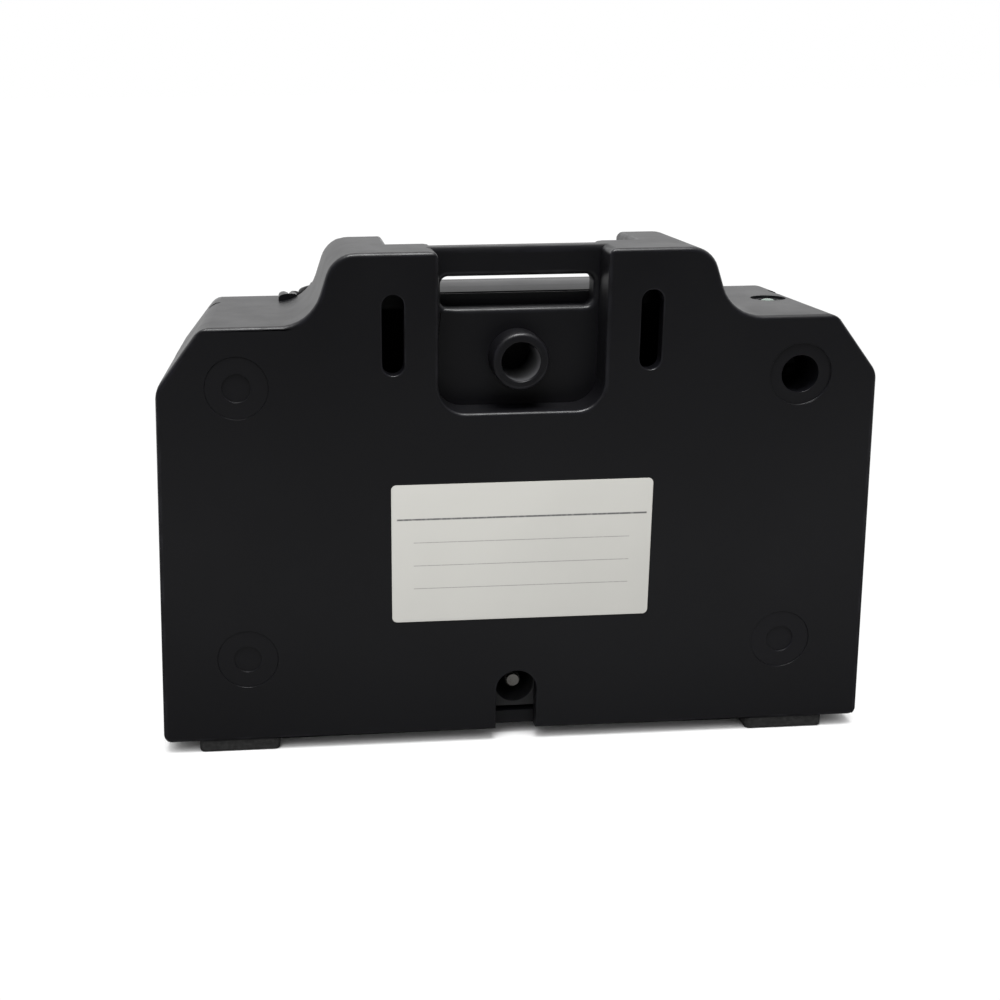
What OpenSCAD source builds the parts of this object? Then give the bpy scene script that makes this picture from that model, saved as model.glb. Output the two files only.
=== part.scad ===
// Two-way radio charger: a desk charger that holds one radio in an upright pocket.
// X runs across the charger, Y from the flat rear plate to the front, Z up, and the origin
// is at the middle of the base. Depths are measured from the outside of the rear plate.
// Heights named _h are measured from the lower edge of the rear plate.

/* [Housing] */
// Width across the side corners of the rear plate
body_w = 110.4; // [104:0.1:124]
// How much wider the plate is at its lower edge
flare = 4; // [0:0.2:6]
// How far the sides draw in from the rear plate to the front face
draw_in = 2.6; // [0:0.2:4]
// Depth from the rear plate to the front face
body_d = 72; // [70:1:90]
// Height of the side corners
corner_h = 57.9; // [52:0.1:60]
// Height of the wings
wing_h = 67; // [63:0.1:68]
// How far the bevel of a wing comes in from the side corner
bevel_w = 7; // [5:0.1:7.4]
// Depth at which the wings start to slope down
wing_flat_d = 35; // [30:0.5:40]
// Height of the front edge of the wings
wing_front_h = 27; // [22:1:36]
// Wall of both covers
wall = 2.2; // [1.8:0.1:2.6]
// Thickness of the rear plate
plate_t = 2.4; // [2:0.1:3]
// Depth of the rear cover, which is where the covers part
rear_d = 25.5; // [24:0.5:30]
// Radius along the lower edges
foot_round = 1.3; // [0.6:0.1:2]
// How far the front face leans back over its height
lean = 4; // [2:0.5:6]
// Radius of the upright front corners
front_round = 10; // [6:0.5:14]
// Clearance between covers, cup and other still pieces
fit_gap = 0.2; // [0.1:0.05:0.3]

/* [Ears] */
// Height of the ears
ear_h = 77.5; // [75.5:0.1:86]
// Width across the flat tops of the ears
ear_w = 50; // [48:0.5:56]
// Depth of the ears
ear_d = 24; // [19:0.5:25]
// Radius at the top of an ear
ear_round = 4.6; // [3:0.1:5]
// Radius where an ear runs out into a wing
root_round = 6.6; // [5:0.1:6.6]
// Distance across the curve from the top of an ear to the wing
curve_run = 11.6; // [11.6:0.1:13]
// Width of the gap between the ears, behind the bar
ear_gap = 38.7; // [34:0.1:40]
// Depth of the inner end of an ear, between the bar and the gap
stub_d = 12; // [11.5:0.1:14]

/* [Collar and pocket] */
// Height of the collar and the ledge at the rear of the pocket
ledge_h = 70; // [68.5:0.1:71]
// Height of the collar at the front
collar_front_h = 56; // [50:1:62]
// Height of the hump on the ledge behind the window
hump_h = 1; // [0.8:0.1:2]
// Depth of the hump on the ledge, front to rear
hump_run = 12; // [12:0.2:14]
// Width of the collar
collar_w = 73; // [72:0.5:76]
// Radius along the top edges of the collar
collar_round = 1.6; // [0.8:0.1:2]
// Width inside the radio pocket
pocket_w = 62; // [56:1:63]
// Depth inside the radio pocket, rear to front
pocket_d = 35.6; // [30:0.2:36]
// Height of the pocket floor
pocket_floor_h = 23; // [22:0.5:30]
// Wall and floor of the pocket cup
cup_wall = 2.2; // [1.6:0.1:2.2]
// Corner radius inside the pocket
pocket_round = 4; // [2:0.5:6]
// Width of the dip in the front of the collar
dip_w = 34; // [24:1:44]
// Depth of the dip in the front of the collar
dip_h = 9; // [4:1:14]

/* [Rear recess] */
// Width of the recess in the rear plate
recess_w = 25.4; // [24:0.1:28]
// Height of the lower edge of the recess
recess_h = 53.1; // [50:0.1:54]
// Depth of the recess
recess_d = 6; // [5:0.1:7]
// Corner radius of the recess
recess_round = 4.2; // [1:0.1:5]
// Depth of the rear face of the bar above the window
bar_d = 9.2; // [8.6:0.1:11]
// How far the bar lies below the ears
bar_drop = 0; // [0:0.1:1]
// Width of the window
window_w = 23.6; // [18:0.2:24]
// Height of the sill of the window
sill_h = 68.2; // [67.9:0.1:68.7]
// Height of the window opening
window_open = 4.8; // [4.2:0.1:5.4]
// Corner radius of the window
window_round = 1.2; // [0.5:0.1:2]
// Height of the centre of the mounting boss
boss_h = 60.6; // [59:0.1:61]
// Outer diameter of the mounting boss
boss_dia = 8.8; // [8:0.1:10]
// Diameter of the bore in the mounting boss
boss_bore = 6; // [3:0.1:6]
// How far the boss stands out of the recess
boss_proud = 4.8; // [1:0.1:5.2]
// Depth of the bore in the boss
boss_bore_d = 11.2; // [8:0.1:12]
// Distance between the two hanging slots
slot_pitch = 39.1; // [38:0.1:42]
// Width of a hanging slot
slot_w = 3.3; // [2.5:0.1:4]
// Height of the lower end of the hanging slots
slot_h = 59.2; // [57:0.1:60]
// Length of a hanging slot
slot_len = 12.1; // [10:0.1:13]

/* [Case screws] */
// Distance of the case screws from the side corners
screw_inset = 12.1; // [10:0.1:13]
// Height of the lower case screws
low_screw_h = 14.1; // [12:0.1:16]
// Diameter of a screw well
well_dia = 5.8; // [5.4:0.1:6]
// Depth of a screw well
well_d = 9.5; // [8:0.1:11]
// Outer diameter of the tube round a screw well
tube_dia = 9.4; // [8.8:0.1:10]
// Diameter of the shallow rim round a screw well
rim_dia = 9.6; // [7:0.1:10]
// Depth of the shallow rim
rim_d = 0.3; // [0.1:0.1:0.5]
// Diameter of a case screw's thread
case_screw_dia = 2.9; // [2.5:0.1:3.2]
// Length of a case screw below its head
case_screw_len = 16; // [12:1:20]
// Diameter of a case screw's head
case_head_dia = 5.1; // [4.6:0.1:5.2]
// Height of a screw plug
plug_len = 2.4; // [1.5:0.1:3]
// Diameter of the dimple in a screw plug
plug_dimple_dia = 4.4; // [2:0.1:4.8]
// Thickness of the floor of a screw well
well_floor = 3.4; // [2.4:0.1:4]

/* [Label and feet] */
// Width of the blank label
label_w = 41; // [30:1:50]
// Height of the blank label
label_tall = 22.6; // [16:0.2:26]
// Sideways place of the label
label_x = 0.4; // [-2:0.1:2]
// Height of the centre of the label
label_h = 30.8; // [28:0.1:32]
// Thickness of the label
label_t = 0.2; // [0.1:0.05:0.3]
// Height of the feet below the plate
foot_h = 2; // [1:0.1:3]
// Width of a foot
foot_w = 13; // [8:0.2:16]
// Depth of a foot
foot_d = 8; // [5:0.5:10]
// Distance between the centres of the two feet of a pair
foot_pitch = 90; // [70:1:90]
// How far a foot sits in the floor of the case
foot_sink = 0.8; // [0.4:0.1:1.2]
// Distance of the rear feet from the rear plate
foot_rear_gap = 0.3; // [0.3:0.1:3]
// Distance of the front feet from the front face
foot_front_gap = 3; // [2:0.5:8]

/* [Supply socket] */
// Sideways place of the socket and its notch
jack_x = 0; // [-3:0.1:3]
// Width of the arched notch in the plate
notch_w = 6.5; // [6:0.1:8]
// Height of the socket's centre
jack_h = 7; // [6:0.1:8]
// Width of the socket's body
jack_w = 9; // [8.5:0.1:11]
// Length of the socket's body
jack_len = 14; // [12:0.5:16]
// Diameter of the socket's bore
jack_bore = 6.3; // [5.8:0.1:6.6]
// Diameter of the socket's centre pin
pin_dia = 2.5; // [1.2:0.1:2.5]
// Distance from the socket's centre up to the board
jack_rise = 6; // [5:0.1:7]
// Distance from the socket's centre down to its underside
jack_under = 4; // [3.6:0.1:4.2]

/* [Circuit board] */
// Width of the circuit board
board_w = 44; // [40:1:48]
// Thickness of the circuit board
board_t = 1.6; // [1:0.1:2]
// Distance from the board's rear edge to the rear plate
board_gap = 0.6; // [0.3:0.1:2]
// Length of the circuit board
board_len = 57; // [55:0.5:59]
// Distance of the board screws from the side edges of the board
board_screw_inset = 4; // [3.5:0.1:5]
// Diameter of a board screw's thread
board_screw_dia = 2.2; // [1.8:0.1:2.6]
// Length of a board screw below the board's top
board_screw_len = 8; // [6:0.5:10]

/* [Charging contacts] */
// Distance between the two contacts
contact_pitch = 12; // [10:0.5:14]
// Distance from the pocket's rear wall to the contacts
contact_back = 10; // [8:0.5:14]
// Diameter of a contact tip
tip_dia = 3; // [2:0.1:3.2]
// Height of a pressed contact tip above its carrier
tip_rest = 0.8; // [0.4:0.1:1.5]
// Travel of a contact when a radio stands on it
contact_travel = 2; // [1:0.1:2.2]
// Diameter of a contact's collar
contact_collar_dia = 4.3; // [4:0.1:4.6]
// Height of a contact's collar
collar_t = 1.2; // [0.8:0.1:1.5]
// Running clearance round a contact tip
run_gap = 0.06; // [0.04:0.01:0.1]
// Diameter of a contact spring's wire
spring_wire = 0.4; // [0.3:0.05:0.5]
// Turns of a contact spring
spring_turns = 4; // [3:1:4]
// How far the contact carrier stands above the pocket floor
carrier_up = 0.8; // [0.2:0.1:1.5]

/* [Status light] */
// Distance of the light from the side corner of the plate
light_inset = 11.9; // [10.5:0.1:13]
// Depth of the light behind the rear plate
light_d = 17.5; // [17.5:0.1:19.5]
// Diameter of the light's sunk ring
light_ring_dia = 5.6; // [5:0.1:7]
// Depth of the light's sunk ring
light_ring_d = 0.4; // [0.3:0.1:1]
// Diameter of the lens
lens_dia = 3; // [2:0.1:4]

/* [Hidden] */
$fn = 48;
eps = 0.01;
over = 1;
arc_steps = 8;

black_case = "#1c1c20";
black_cup = "#17171a";
steel = "#9a9a9c";
dark_steel = "#3a3a3e";
board_green = "#1f5a35";
brass = "#c8a24a";
copper = "#b5652e";

z0 = foot_h;
foot_edge_w = body_w + flare;
// Upper face of the case floor
floor_z = z0 + wall;
board_z = z0 + jack_h + jack_rise;
board_top = board_z + board_t;
board_y = plate_t + board_gap;
cup_floor_z = z0 + pocket_floor_h;
cup_under_z = cup_floor_z - cup_wall;
cup_y = rear_d + fit_gap;
pocket_y = cup_y + cup_wall;
pocket_mid_y = pocket_y + pocket_d / 2;
tip_up = tip_rest + contact_travel;
post_y = well_d + well_floor;
screw_x = body_w / 2 - screw_inset;
// Clearance round threads, pins and plugs, and round what is glued into a shallow seat
thread_gap = 0.05;
seat_gap = 0.1;
label_round = 0.8;
foot_corner = 0.9;

// Rounding and insetting of outlines
function unit(v) = v / norm(v);
function corner(a, b, c, r) =
    r == 0 ? [b] :
    let (u = unit(a - b),
         v = unit(c - b),
         half = acos(u * v) / 2,
         centre = b + unit(u + v) * r / sin(half),
         s = b + u * r / tan(half) - centre,
         e = b + v * r / tan(half) - centre,
         from = atan2(s.y, s.x),
         sweep = (atan2(e.y, e.x) - from + 540) % 360 - 180)
    [for (k = [0 : arc_steps]) centre + turned(r, from + sweep * k / arc_steps)];
function rounded(pts, radii) =
    let (n = len(pts))
    [for (i = [0 : n - 1]) each corner(pts[(i + n - 1) % n], pts[i], pts[(i + 1) % n], radii[i])];
function box_outline(x0, y0, x1, y1, r) =
    rounded([[x0, y0], [x1, y0], [x1, y1], [x0, y1]], [r, r, r, r]);
function left_normal(a, b) = unit([a.y - b.y, b.x - a.x]);
function inset(pts, d) =
    let (n = len(pts))
    [for (i = [0 : n - 1])
        let (p = left_normal(pts[(i + n - 1) % n], pts[i]), q = left_normal(pts[i], pts[(i + 1) % n]))
        pts[i] + d * (p + q) / (1 + p * q)];
// Outline moved inwards by d, its rounded corners kept concentric
function outline(pts, radii, d = 0) = rounded(inset(pts, d), [for (r = radii) max(0, r - d)]);
function mirrored(pts) = [for (i = [len(pts) - 1 : -1 : 0]) [-pts[i].x, pts[i].y]];
function turned(r, angle) = r * [cos(angle), sin(angle)];
function arc(centre, r, from, to) =
    [for (k = [0 : arc_steps]) centre + turned(r, from + (to - from) * k / arc_steps)];

// Depths run from the rear plate, so a finished piece is moved back to centre the charger
module centred() translate([0, -body_d / 2, 0]) children();

// Extrusions of an upright outline along Y, and of a side outline along X
module along_y(y0, y1) translate([0, y1, z0]) rotate([90, 0, 0]) linear_extrude(y1 - y0) children();
module along_x(x0, x1) translate([x0, 0, z0]) rotate([90, 0, 90]) linear_extrude(x1 - x0) children();
module rod_y(x, h, dia, y0, y1) translate([x, y0, z0 + h]) rotate([-90, 0, 0]) cylinder(d = dia, h = y1 - y0);
module rod_z(x, y, dia, low, high) translate([x, y, low]) cylinder(d = dia, h = high - low);
module block(x0, y0, low, x1, y1, high) translate([x0, y0, low]) cube([x1 - x0, y1 - y0, high - low]);

// Outline of the wings and ears with the S-curve between them; the drawn-in sides cut it to width
ear_centre = [ear_w / 2, ear_h - ear_round];
root_centre = [ear_w / 2 + curve_run, wing_h + root_round];
centre_gap = root_centre - ear_centre;
tangent_angle = atan2(centre_gap.y, centre_gap.x) + acos(min(1, (ear_round + root_round) / norm(centre_gap)));
wide_half = foot_edge_w / 2 + over;
wing_half = [[wide_half, 0], [wide_half, wing_h]];
root_arc = arc(root_centre, root_round, 270, 180 + tangent_angle);
ear_arc = arc(ear_centre, ear_round, tangent_angle, 90);
plate_half = concat(wing_half, root_arc, ear_arc);
plate_pts = concat(plate_half, mirrored(plate_half));
wing_pts = concat(wing_half, mirrored(wing_half));
function plate_outline(d = 0) = inset(plate_pts, d);
function wing_outline(d = 0) = inset(wing_pts, d);

// Flared sides and bevels of the housing, drawn in towards the front; the bevels run on above the ears
side_top = ear_h + over;
side_top_x = body_w / 2 - (side_top - corner_h) * bevel_w / (wing_h - corner_h);
side_low = -0.06;
side_half = [[foot_edge_w / 2, side_low], [body_w / 2, corner_h], [side_top_x, side_top]];
side_pts = concat(side_half, [[-body_w, side_top], [-body_w, side_low]]);
draw_angle = atan(draw_in / body_d);
module right_side(d) translate([body_w / 2, 0, 0]) rotate([0, 0, draw_angle]) translate([-body_w / 2, 0, 0])
    along_y(-draw_in - over, body_d + draw_in + over) polygon(outline(side_pts, [foot_round, 0, 0, 0, 0], d));
module drawn_in(d = 0) intersection() {
    right_side(d);
    mirror([1, 0, 0]) right_side(d);
}

// Upright outline of the recess, open at the top
recess_pts = box_outline(-recess_w / 2, recess_h, recess_w / 2, ear_h + over, 0);
recess_outline = rounded(recess_pts, [recess_round, recess_round, 0, 0]);
module upright_box(w, low, high, r = 0) polygon(box_outline(-w / 2, low, w / 2, high, r));

// Height of the underside of the ledge
ledge_under = ledge_h - wall;
screw_places = [[screw_x, corner_h], [-screw_x, corner_h], [-screw_x, low_screw_h], [screw_x, low_screw_h]];
foot_ys = [foot_rear_gap + foot_d / 2, body_d - foot_front_gap - foot_d / 2];
foot_places = [for (x = [-foot_pitch / 2, foot_pitch / 2], y = foot_ys) [x, y]];
light_x = body_w / 2 - light_inset;
roof_z = z0 + wing_h;
roof_under_z = roof_z - wall;
lens_flange_t = 0.6;
chip_t = 0.8;
light_peg_dia = 1.4;
light_peg_gap = 3.5;
light_board_t = 0.8;
light_board_w = 9.2;
light_board_in = 9;
light_board_top = roof_under_z - lens_flange_t - chip_t;
light_board_low = light_board_top - light_board_t;
// Inner face of the bevelled wall beside the wing at a height
bevel_run = bevel_w / (wing_h - corner_h);
function inner_bevel_x(h) = body_w / 2 - (h - corner_h) * bevel_run - wall * sqrt(1 + pow(bevel_run, 2));
light_board_end = inner_bevel_x(light_board_top - z0) - draw_in * (light_d + light_board_w / 2) / body_d - 2 * fit_gap;
guide_t = 1.2;
guide_len = 2.6;
guide_up = 2;

// Rear cover: plate, ears, bar, recess with its boss, and the ledge behind the window
hump_r = (pow(hump_run / 2, 2) + pow(hump_h, 2)) / (2 * hump_h);
hump_angle = asin(hump_run / 2 / hump_r);
hump_centre = [bar_d + hump_run / 2, ledge_h + hump_h - hump_r];
hump_outline = concat(
    arc(hump_centre, hump_r, 90 - hump_angle, 90 + hump_angle),
    [[bar_d, ledge_h - over], [bar_d + hump_run, ledge_h - over]]);
module rear_solid() intersection() {
    rear_form();
    drawn_in();
}
module rear_form() {
    difference() {
        along_y(0, rear_d) polygon(plate_outline());
        along_y(bar_d, rear_d + over) upright_box(recess_w, ledge_h, ear_h + over);
        along_y(stub_d, rear_d + over) upright_box(ear_gap, ledge_h, ear_h + over);
        along_y(ear_d, rear_d + over) upright_box(body_w, ledge_h, ear_h + over);
    }
    along_x(-ear_gap / 2 - eps, ear_gap / 2 + eps) polygon(hump_outline);
}

module rear_hollow() intersection() {
    rear_space();
    drawn_in(wall);
}
module rear_space() {
    ear_x = ear_gap / 2 + wall;
    difference() {
        union() {
            along_y(plate_t, rear_d + over) intersection() {
                polygon(plate_outline(wall));
                upright_box(foot_edge_w, 0, ledge_under);
            }
            along_y(plate_t, stub_d - wall) intersection() {
                polygon(plate_outline(wall));
                upright_box(2 * ear_x, ledge_under - over, ear_h);
            }
            along_y(plate_t, ear_d - wall) difference() {
                polygon(plate_outline(wall));
                upright_box(2 * ear_x, 0, ear_h + over);
                upright_box(body_w + flare, 0, ledge_under - over);
            }
        }
        along_y(0, recess_d + wall) upright_box(recess_w + 2 * wall, recess_h - wall, ear_h + over);
        along_y(0, bar_d) upright_box(recess_w + 2 * wall, sill_h - wall, ear_h + over);
        along_y(0, bar_d + wall) upright_box(recess_w + 2 * wall, sill_h - wall, ledge_h);
    }
}

module rear_fittings() {
    for (p = screw_places) rod_y(p.x, p.y, tube_dia, plate_t - over, post_y - thread_gap);
    rod_y(0, boss_h, boss_dia, recess_d - boss_proud, recess_d - boss_proud + boss_bore_d + wall);
    // Guides on both sides of the supply socket's mouth
    for (side = [-1, 1]) {
        guide_x = jack_x + side * (jack_w / 2 + fit_gap + guide_t / 2);
        block(guide_x - guide_t / 2, plate_t - over, floor_z - over,
            guide_x + guide_t / 2, plate_t + guide_len, z0 + jack_h + guide_up);
    }
    // Pegs that carry the light's board
    for (side = [-1, 1])
        rod_z(light_x, light_d + side * light_peg_gap, light_peg_dia, light_board_low, roof_under_z + over);
}

// Outlines of the label and a foot, grown by a clearance for their seats
module label_outline(grow) translate([label_x, label_h]) polygon(box_outline(
    -label_w / 2 - grow, -label_tall / 2 - grow, label_w / 2 + grow, label_tall / 2 + grow, label_round + grow));
module foot_outline(grow) polygon(box_outline(
    -foot_w / 2 - grow, -foot_d / 2 - grow, foot_w / 2 + grow, foot_d / 2 + grow, foot_corner + grow));
module foot_cut() for (p = foot_places)
    translate([p.x, p.y, z0 - over]) linear_extrude(foot_sink + over) foot_outline(seat_gap);

module rear_cover() color(black_case) centred() difference() {
    union() {
        difference() {
            rear_solid();
            rear_hollow();
        }
        intersection() {
            rear_solid();
            rear_fittings();
        }
    }
    difference() {
        along_y(-over, recess_d) polygon(recess_outline);
        rod_y(0, boss_h, boss_dia, recess_d - boss_proud, recess_d + over);
    }
    rod_y(0, boss_h, boss_bore, recess_d - boss_proud - over, recess_d - boss_proud + boss_bore_d);
    along_y(-over, bar_d + over) upright_box(recess_w, ear_h - bar_drop, ear_h + over);
    along_y(recess_d - eps, bar_d) upright_box(window_w, sill_h, sill_h + window_open, window_round);
    for (side = [-1, 1])
        along_y(-over, plate_t + eps) translate([side * slot_pitch / 2, 0])
            upright_box(slot_w, slot_h, slot_h + slot_len, slot_w / 2 - eps);
    for (p = screw_places) {
        rod_y(p.x, p.y, rim_dia, -over, rim_d);
        rod_y(p.x, p.y, well_dia, -over, well_d);
        rod_y(p.x, p.y, case_screw_dia + 2 * fit_gap, 0, post_y);
    }
    along_y(-over, plate_t + eps) translate([jack_x, 0]) {
        translate([0, jack_h]) circle(d = notch_w);
        translate([-notch_w / 2, -over]) square([notch_w, jack_h + over]);
    }
    rod_z(light_x, light_d, light_ring_dia, roof_z - light_ring_d, roof_z + over);
    rod_z(light_x, light_d, lens_dia + fit_gap, roof_under_z - over, roof_z);
    along_y(-over, label_t / 2) label_outline(seat_gap);
    foot_cut();
}

// Front cover: sloping wings, the collar round the pocket and the leaning front face
rear_lap = 4;
function face_y(h) = body_d - lean * h / collar_front_h;
rear_rise = (ledge_h - collar_front_h) / (face_y(collar_front_h) - rear_d) * rear_lap;
lap_y = rear_d - rear_lap;
wing_front = [face_y(wing_front_h), wing_front_h];
collar_front = [face_y(collar_front_h), collar_front_h];
wing_side = [[lap_y, 0], [body_d, 0], wing_front, [wing_flat_d, wing_h], [lap_y, wing_h]];
collar_side = [[lap_y, 0], [body_d, 0], collar_front, [lap_y, ledge_h + rear_rise]];
collar_pts = box_outline(-collar_w / 2, 0, collar_w / 2, ledge_h, 0);
wing_room = box_outline(-wide_half, -over, wide_half, ear_h, 0);
plan_front = wide_half - draw_in;
plan_pts = [[-wide_half, lap_y], [wide_half, lap_y], [plan_front, body_d], [-plan_front, body_d]];
wing_front_round = 6;
wing_top_round = 8;
rim_round = 2;
function wing_profile(d = 0) = outline(wing_side, [0, foot_round, wing_front_round, wing_top_round, 0], d);
function collar_profile(d = 0) = outline(collar_side, [0, foot_round, rim_round, 0], d);
function collar_outline(d = 0) = outline(collar_pts, [0, 0, collar_round, collar_round], d);
function plan_outline(d = 0) = outline(plan_pts, [0, 0, front_round, front_round], d);
dip_round = 4;
dip_low = collar_front_h - dip_h;
dip_out = dip_w / 2 + dip_h;
dip_pts = [[-dip_out, ledge_h], [-dip_w / 2, dip_low], [dip_w / 2, dip_low], [dip_out, ledge_h]];
dip_outline = rounded(dip_pts, [0, dip_round, dip_round, 0]);

// Part of the front cover moved inwards by d: its upright outline, side profile and plan meet
module front_part(d, upright, profile, y0) intersection() {
    along_y(y0, body_d) polygon(upright);
    along_x(-body_w, body_w) polygon(profile);
    translate([0, 0, z0 - over]) linear_extrude(ear_h + over) polygon(plan_outline(d));
}
module front_form(d, y0) {
    intersection() {
        front_part(d, wing_room, wing_profile(d), y0);
        drawn_in(d);
    }
    front_part(d, collar_outline(d), collar_profile(d), y0);
}
module front_solid() front_form(0, rear_d);
module front_hollow() front_form(wall, rear_d - over);

board_screw_x = board_w / 2 - board_screw_inset;
board_screw_ys = [rear_d + 6, board_y + board_len - board_screw_inset];
cup_screw_inset = 4;
cup_screw_x = pocket_w / 2 - cup_screw_inset;
cup_screw_len = 7;
cup_post_dia = 6.5;
board_post_dia = 6;
case_post_dia = 6.6;
small_head_t = 1.6;
small_hole_dia = board_screw_dia + 2 * thread_gap;

module front_posts() {
    for (p = screw_places) intersection() {
        rod_y(p.x, p.y, case_post_dia, rear_d - eps, body_d);
        front_solid();
    }
    for (p = screw_places) rod_y(p.x, p.y, case_post_dia, post_y, rear_d + over);
    for (side = [-1, 1], y = board_screw_ys)
        rod_z(side * board_screw_x, y, board_post_dia, floor_z - eps, board_z);
    for (side = [-1, 1]) rod_z(side * cup_screw_x, pocket_mid_y, cup_post_dia, floor_z - eps, cup_under_z);
}

// Lip that slides into the rear cover and lines the two covers up
lip_len = 2;
lip_t = 1;
module lip_form(d, y0, more = 0) intersection() {
    along_y(y0, rear_d + lip_len + more) polygon(wing_outline(d));
    drawn_in(d);
}
module front_lip() {
    lip_in = wall + fit_gap;
    difference() {
        union() {
            lip_form(lip_in, rear_d - lip_len);
            lip_form(wall - fit_gap, rear_d + fit_gap);
        }
        lip_form(lip_in + lip_t, rear_d - lip_len - over, over);
        along_y(0, body_d) upright_box(collar_w + 2 * lip_t, floor_z, ear_h);
    }
}

cup_half_w = pocket_w / 2 + cup_wall;
module cup_plan(grow) polygon(box_outline(
    -cup_half_w - grow, cup_y - grow,
    cup_half_w + grow, pocket_y + pocket_d + cup_wall + grow, pocket_round + cup_wall + grow));

module front_cover() color(black_case) centred() difference() {
    union() {
        difference() {
            front_solid();
            front_hollow();
        }
        front_posts();
        front_lip();
    }
    translate([0, 0, cup_under_z]) linear_extrude(ear_h) cup_plan(fit_gap);
    block(-cup_half_w - fit_gap, rear_d - over, cup_under_z,
        cup_half_w + fit_gap, pocket_y + over, z0 + ear_h);
    along_y(pocket_y + pocket_d, body_d + over) polygon(dip_outline);
    for (p = screw_places)
        rod_y(p.x, p.y, case_screw_dia + 2 * thread_gap, post_y - over, well_d + case_screw_len + over);
    for (side = [-1, 1], y = board_screw_ys)
        rod_z(side * board_screw_x, y, small_hole_dia, board_top - board_screw_len - over, board_z + over);
    for (side = [-1, 1])
        rod_z(side * cup_screw_x, pocket_mid_y, small_hole_dia,
            cup_floor_z - cup_screw_len - over, cup_under_z + over);
    foot_cut();
}

// Pocket cup: holds the radio, with guide ribs and an opening for the contacts
carrier_w = contact_pitch + contact_collar_dia + 5.6;
carrier_d = contact_collar_dia + 4.8;
contact_y = pocket_y + contact_back;
rib_t = 1.6;
rib_proud = 1;
drain_dia = 3;
drain_x = 12.4;
rib_lead = 3;
// Guide rib centred on the inner face of a pocket wall
module rib(x, y, half_w, half_d)
    block(x - half_w, y - half_d, cup_floor_z - eps, x + half_w, y + half_d, z0 + ear_h);
module pocket_cup() color(black_cup) centred() {
    difference() {
        intersection() {
            translate([0, 0, cup_under_z]) linear_extrude(ear_h) cup_plan(0);
            along_x(-body_w, body_w) polygon(collar_profile());
        }
        translate([0, 0, cup_floor_z]) linear_extrude(ear_h)
            polygon(box_outline(-pocket_w / 2, pocket_y, pocket_w / 2, pocket_y + pocket_d, pocket_round));
        along_y(pocket_y + pocket_d - pocket_round, body_d) polygon(dip_outline);
        block(-carrier_w / 2 - fit_gap, contact_y - carrier_d / 2 - fit_gap, cup_under_z - over,
            carrier_w / 2 + fit_gap, contact_y + carrier_d / 2 + fit_gap, cup_floor_z + over);
        for (side = [-1, 1]) {
            rod_z(side * cup_screw_x, pocket_mid_y, board_screw_dia + fit_gap,
                cup_under_z - over, cup_floor_z + over);
            rod_z(side * drain_x, pocket_mid_y + pocket_d / 4, drain_dia,
                cup_under_z - over, cup_floor_z + over);
        }
    }
    intersection() {
        along_x(-body_w, body_w) polygon(collar_profile(rib_lead));
        union() for (side = [-1, 1]) {
            for (k = [-1, 1]) rib(side * pocket_w / 2, pocket_mid_y + k * pocket_d / 4, rib_proud, rib_t / 2);
            rib(side * pocket_w / 4, pocket_y, rib_t / 2, rib_proud);
        }
    }
}

module blank_label() color("#e8e6e0") centred() along_y(-label_t / 2, label_t / 2) label_outline(0);

module rubber_feet() color("#101010") centred() for (p = foot_places)
    translate([p.x, p.y, 0]) linear_extrude(foot_h + foot_sink) foot_outline(0);

// Pan-head screw along +Z, its head seated at the origin and its cross recess cut in
module pan_screw(thread, length, head, head_t) {
    shoulder = [head / 2, head_t * 0.55];
    crown = [head / 2 - head_t * 0.35, head_t];
    point = thread / 2;
    difference() {
        rotate_extrude() polygon([[0, 0], [head / 2, 0], shoulder, crown, [0, head_t]]);
        for (a = [0, 90]) rotate([0, 0, a])
            translate([-head * 0.3, -head * 0.07, head_t * 0.45]) cube([head * 0.6, head * 0.14, head_t]);
    }
    translate([0, 0, -length]) rotate_extrude()
        polygon([[0, 0], [thread / 2, point], [thread / 2, length + eps], [0, length + eps]]);
}
case_head_t = 2.4;
small_head = board_screw_dia * 1.8;
plug_set_back = 0.1;
plug_dimple_d = 0.25;
module case_screws() color(dark_steel) centred() for (p = screw_places)
    translate([p.x, well_d, z0 + p.y]) rotate([90, 0, 0])
        pan_screw(case_screw_dia, case_screw_len, case_head_dia, case_head_t);

// Plugs with thin heads in three of the four wells; the upper right well is open
module screw_plugs() color(black_case) centred() for (i = [1, 2, 3]) let (p = screw_places[i]) difference() {
    union() {
        rod_y(p.x, p.y, well_dia - 2 * thread_gap, plug_set_back, plug_set_back + plug_len);
        rod_y(p.x, p.y, rim_dia - 2 * seat_gap, plug_set_back, rim_d);
    }
    rod_y(p.x, p.y, plug_dimple_dia, 0, plug_set_back + plug_dimple_d);
}
module board_screws() color(steel) centred() for (side = [-1, 1], y = board_screw_ys)
    translate([side * board_screw_x, y, board_top])
        pan_screw(board_screw_dia, board_screw_len, small_head, small_head_t);
module cup_screws() color(steel) centred() for (side = [-1, 1])
    translate([side * cup_screw_x, pocket_mid_y, cup_floor_z])
        pan_screw(board_screw_dia, cup_screw_len, small_head, small_head_t);

module circuit_board() color(board_green) centred() difference() {
    block(-board_w / 2, board_y, board_z, board_w / 2, board_y + board_len, board_top);
    for (side = [-1, 1], y = board_screw_ys)
        rod_z(side * board_screw_x, y, small_hole_dia, board_z - over, board_top + over);
}

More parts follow.
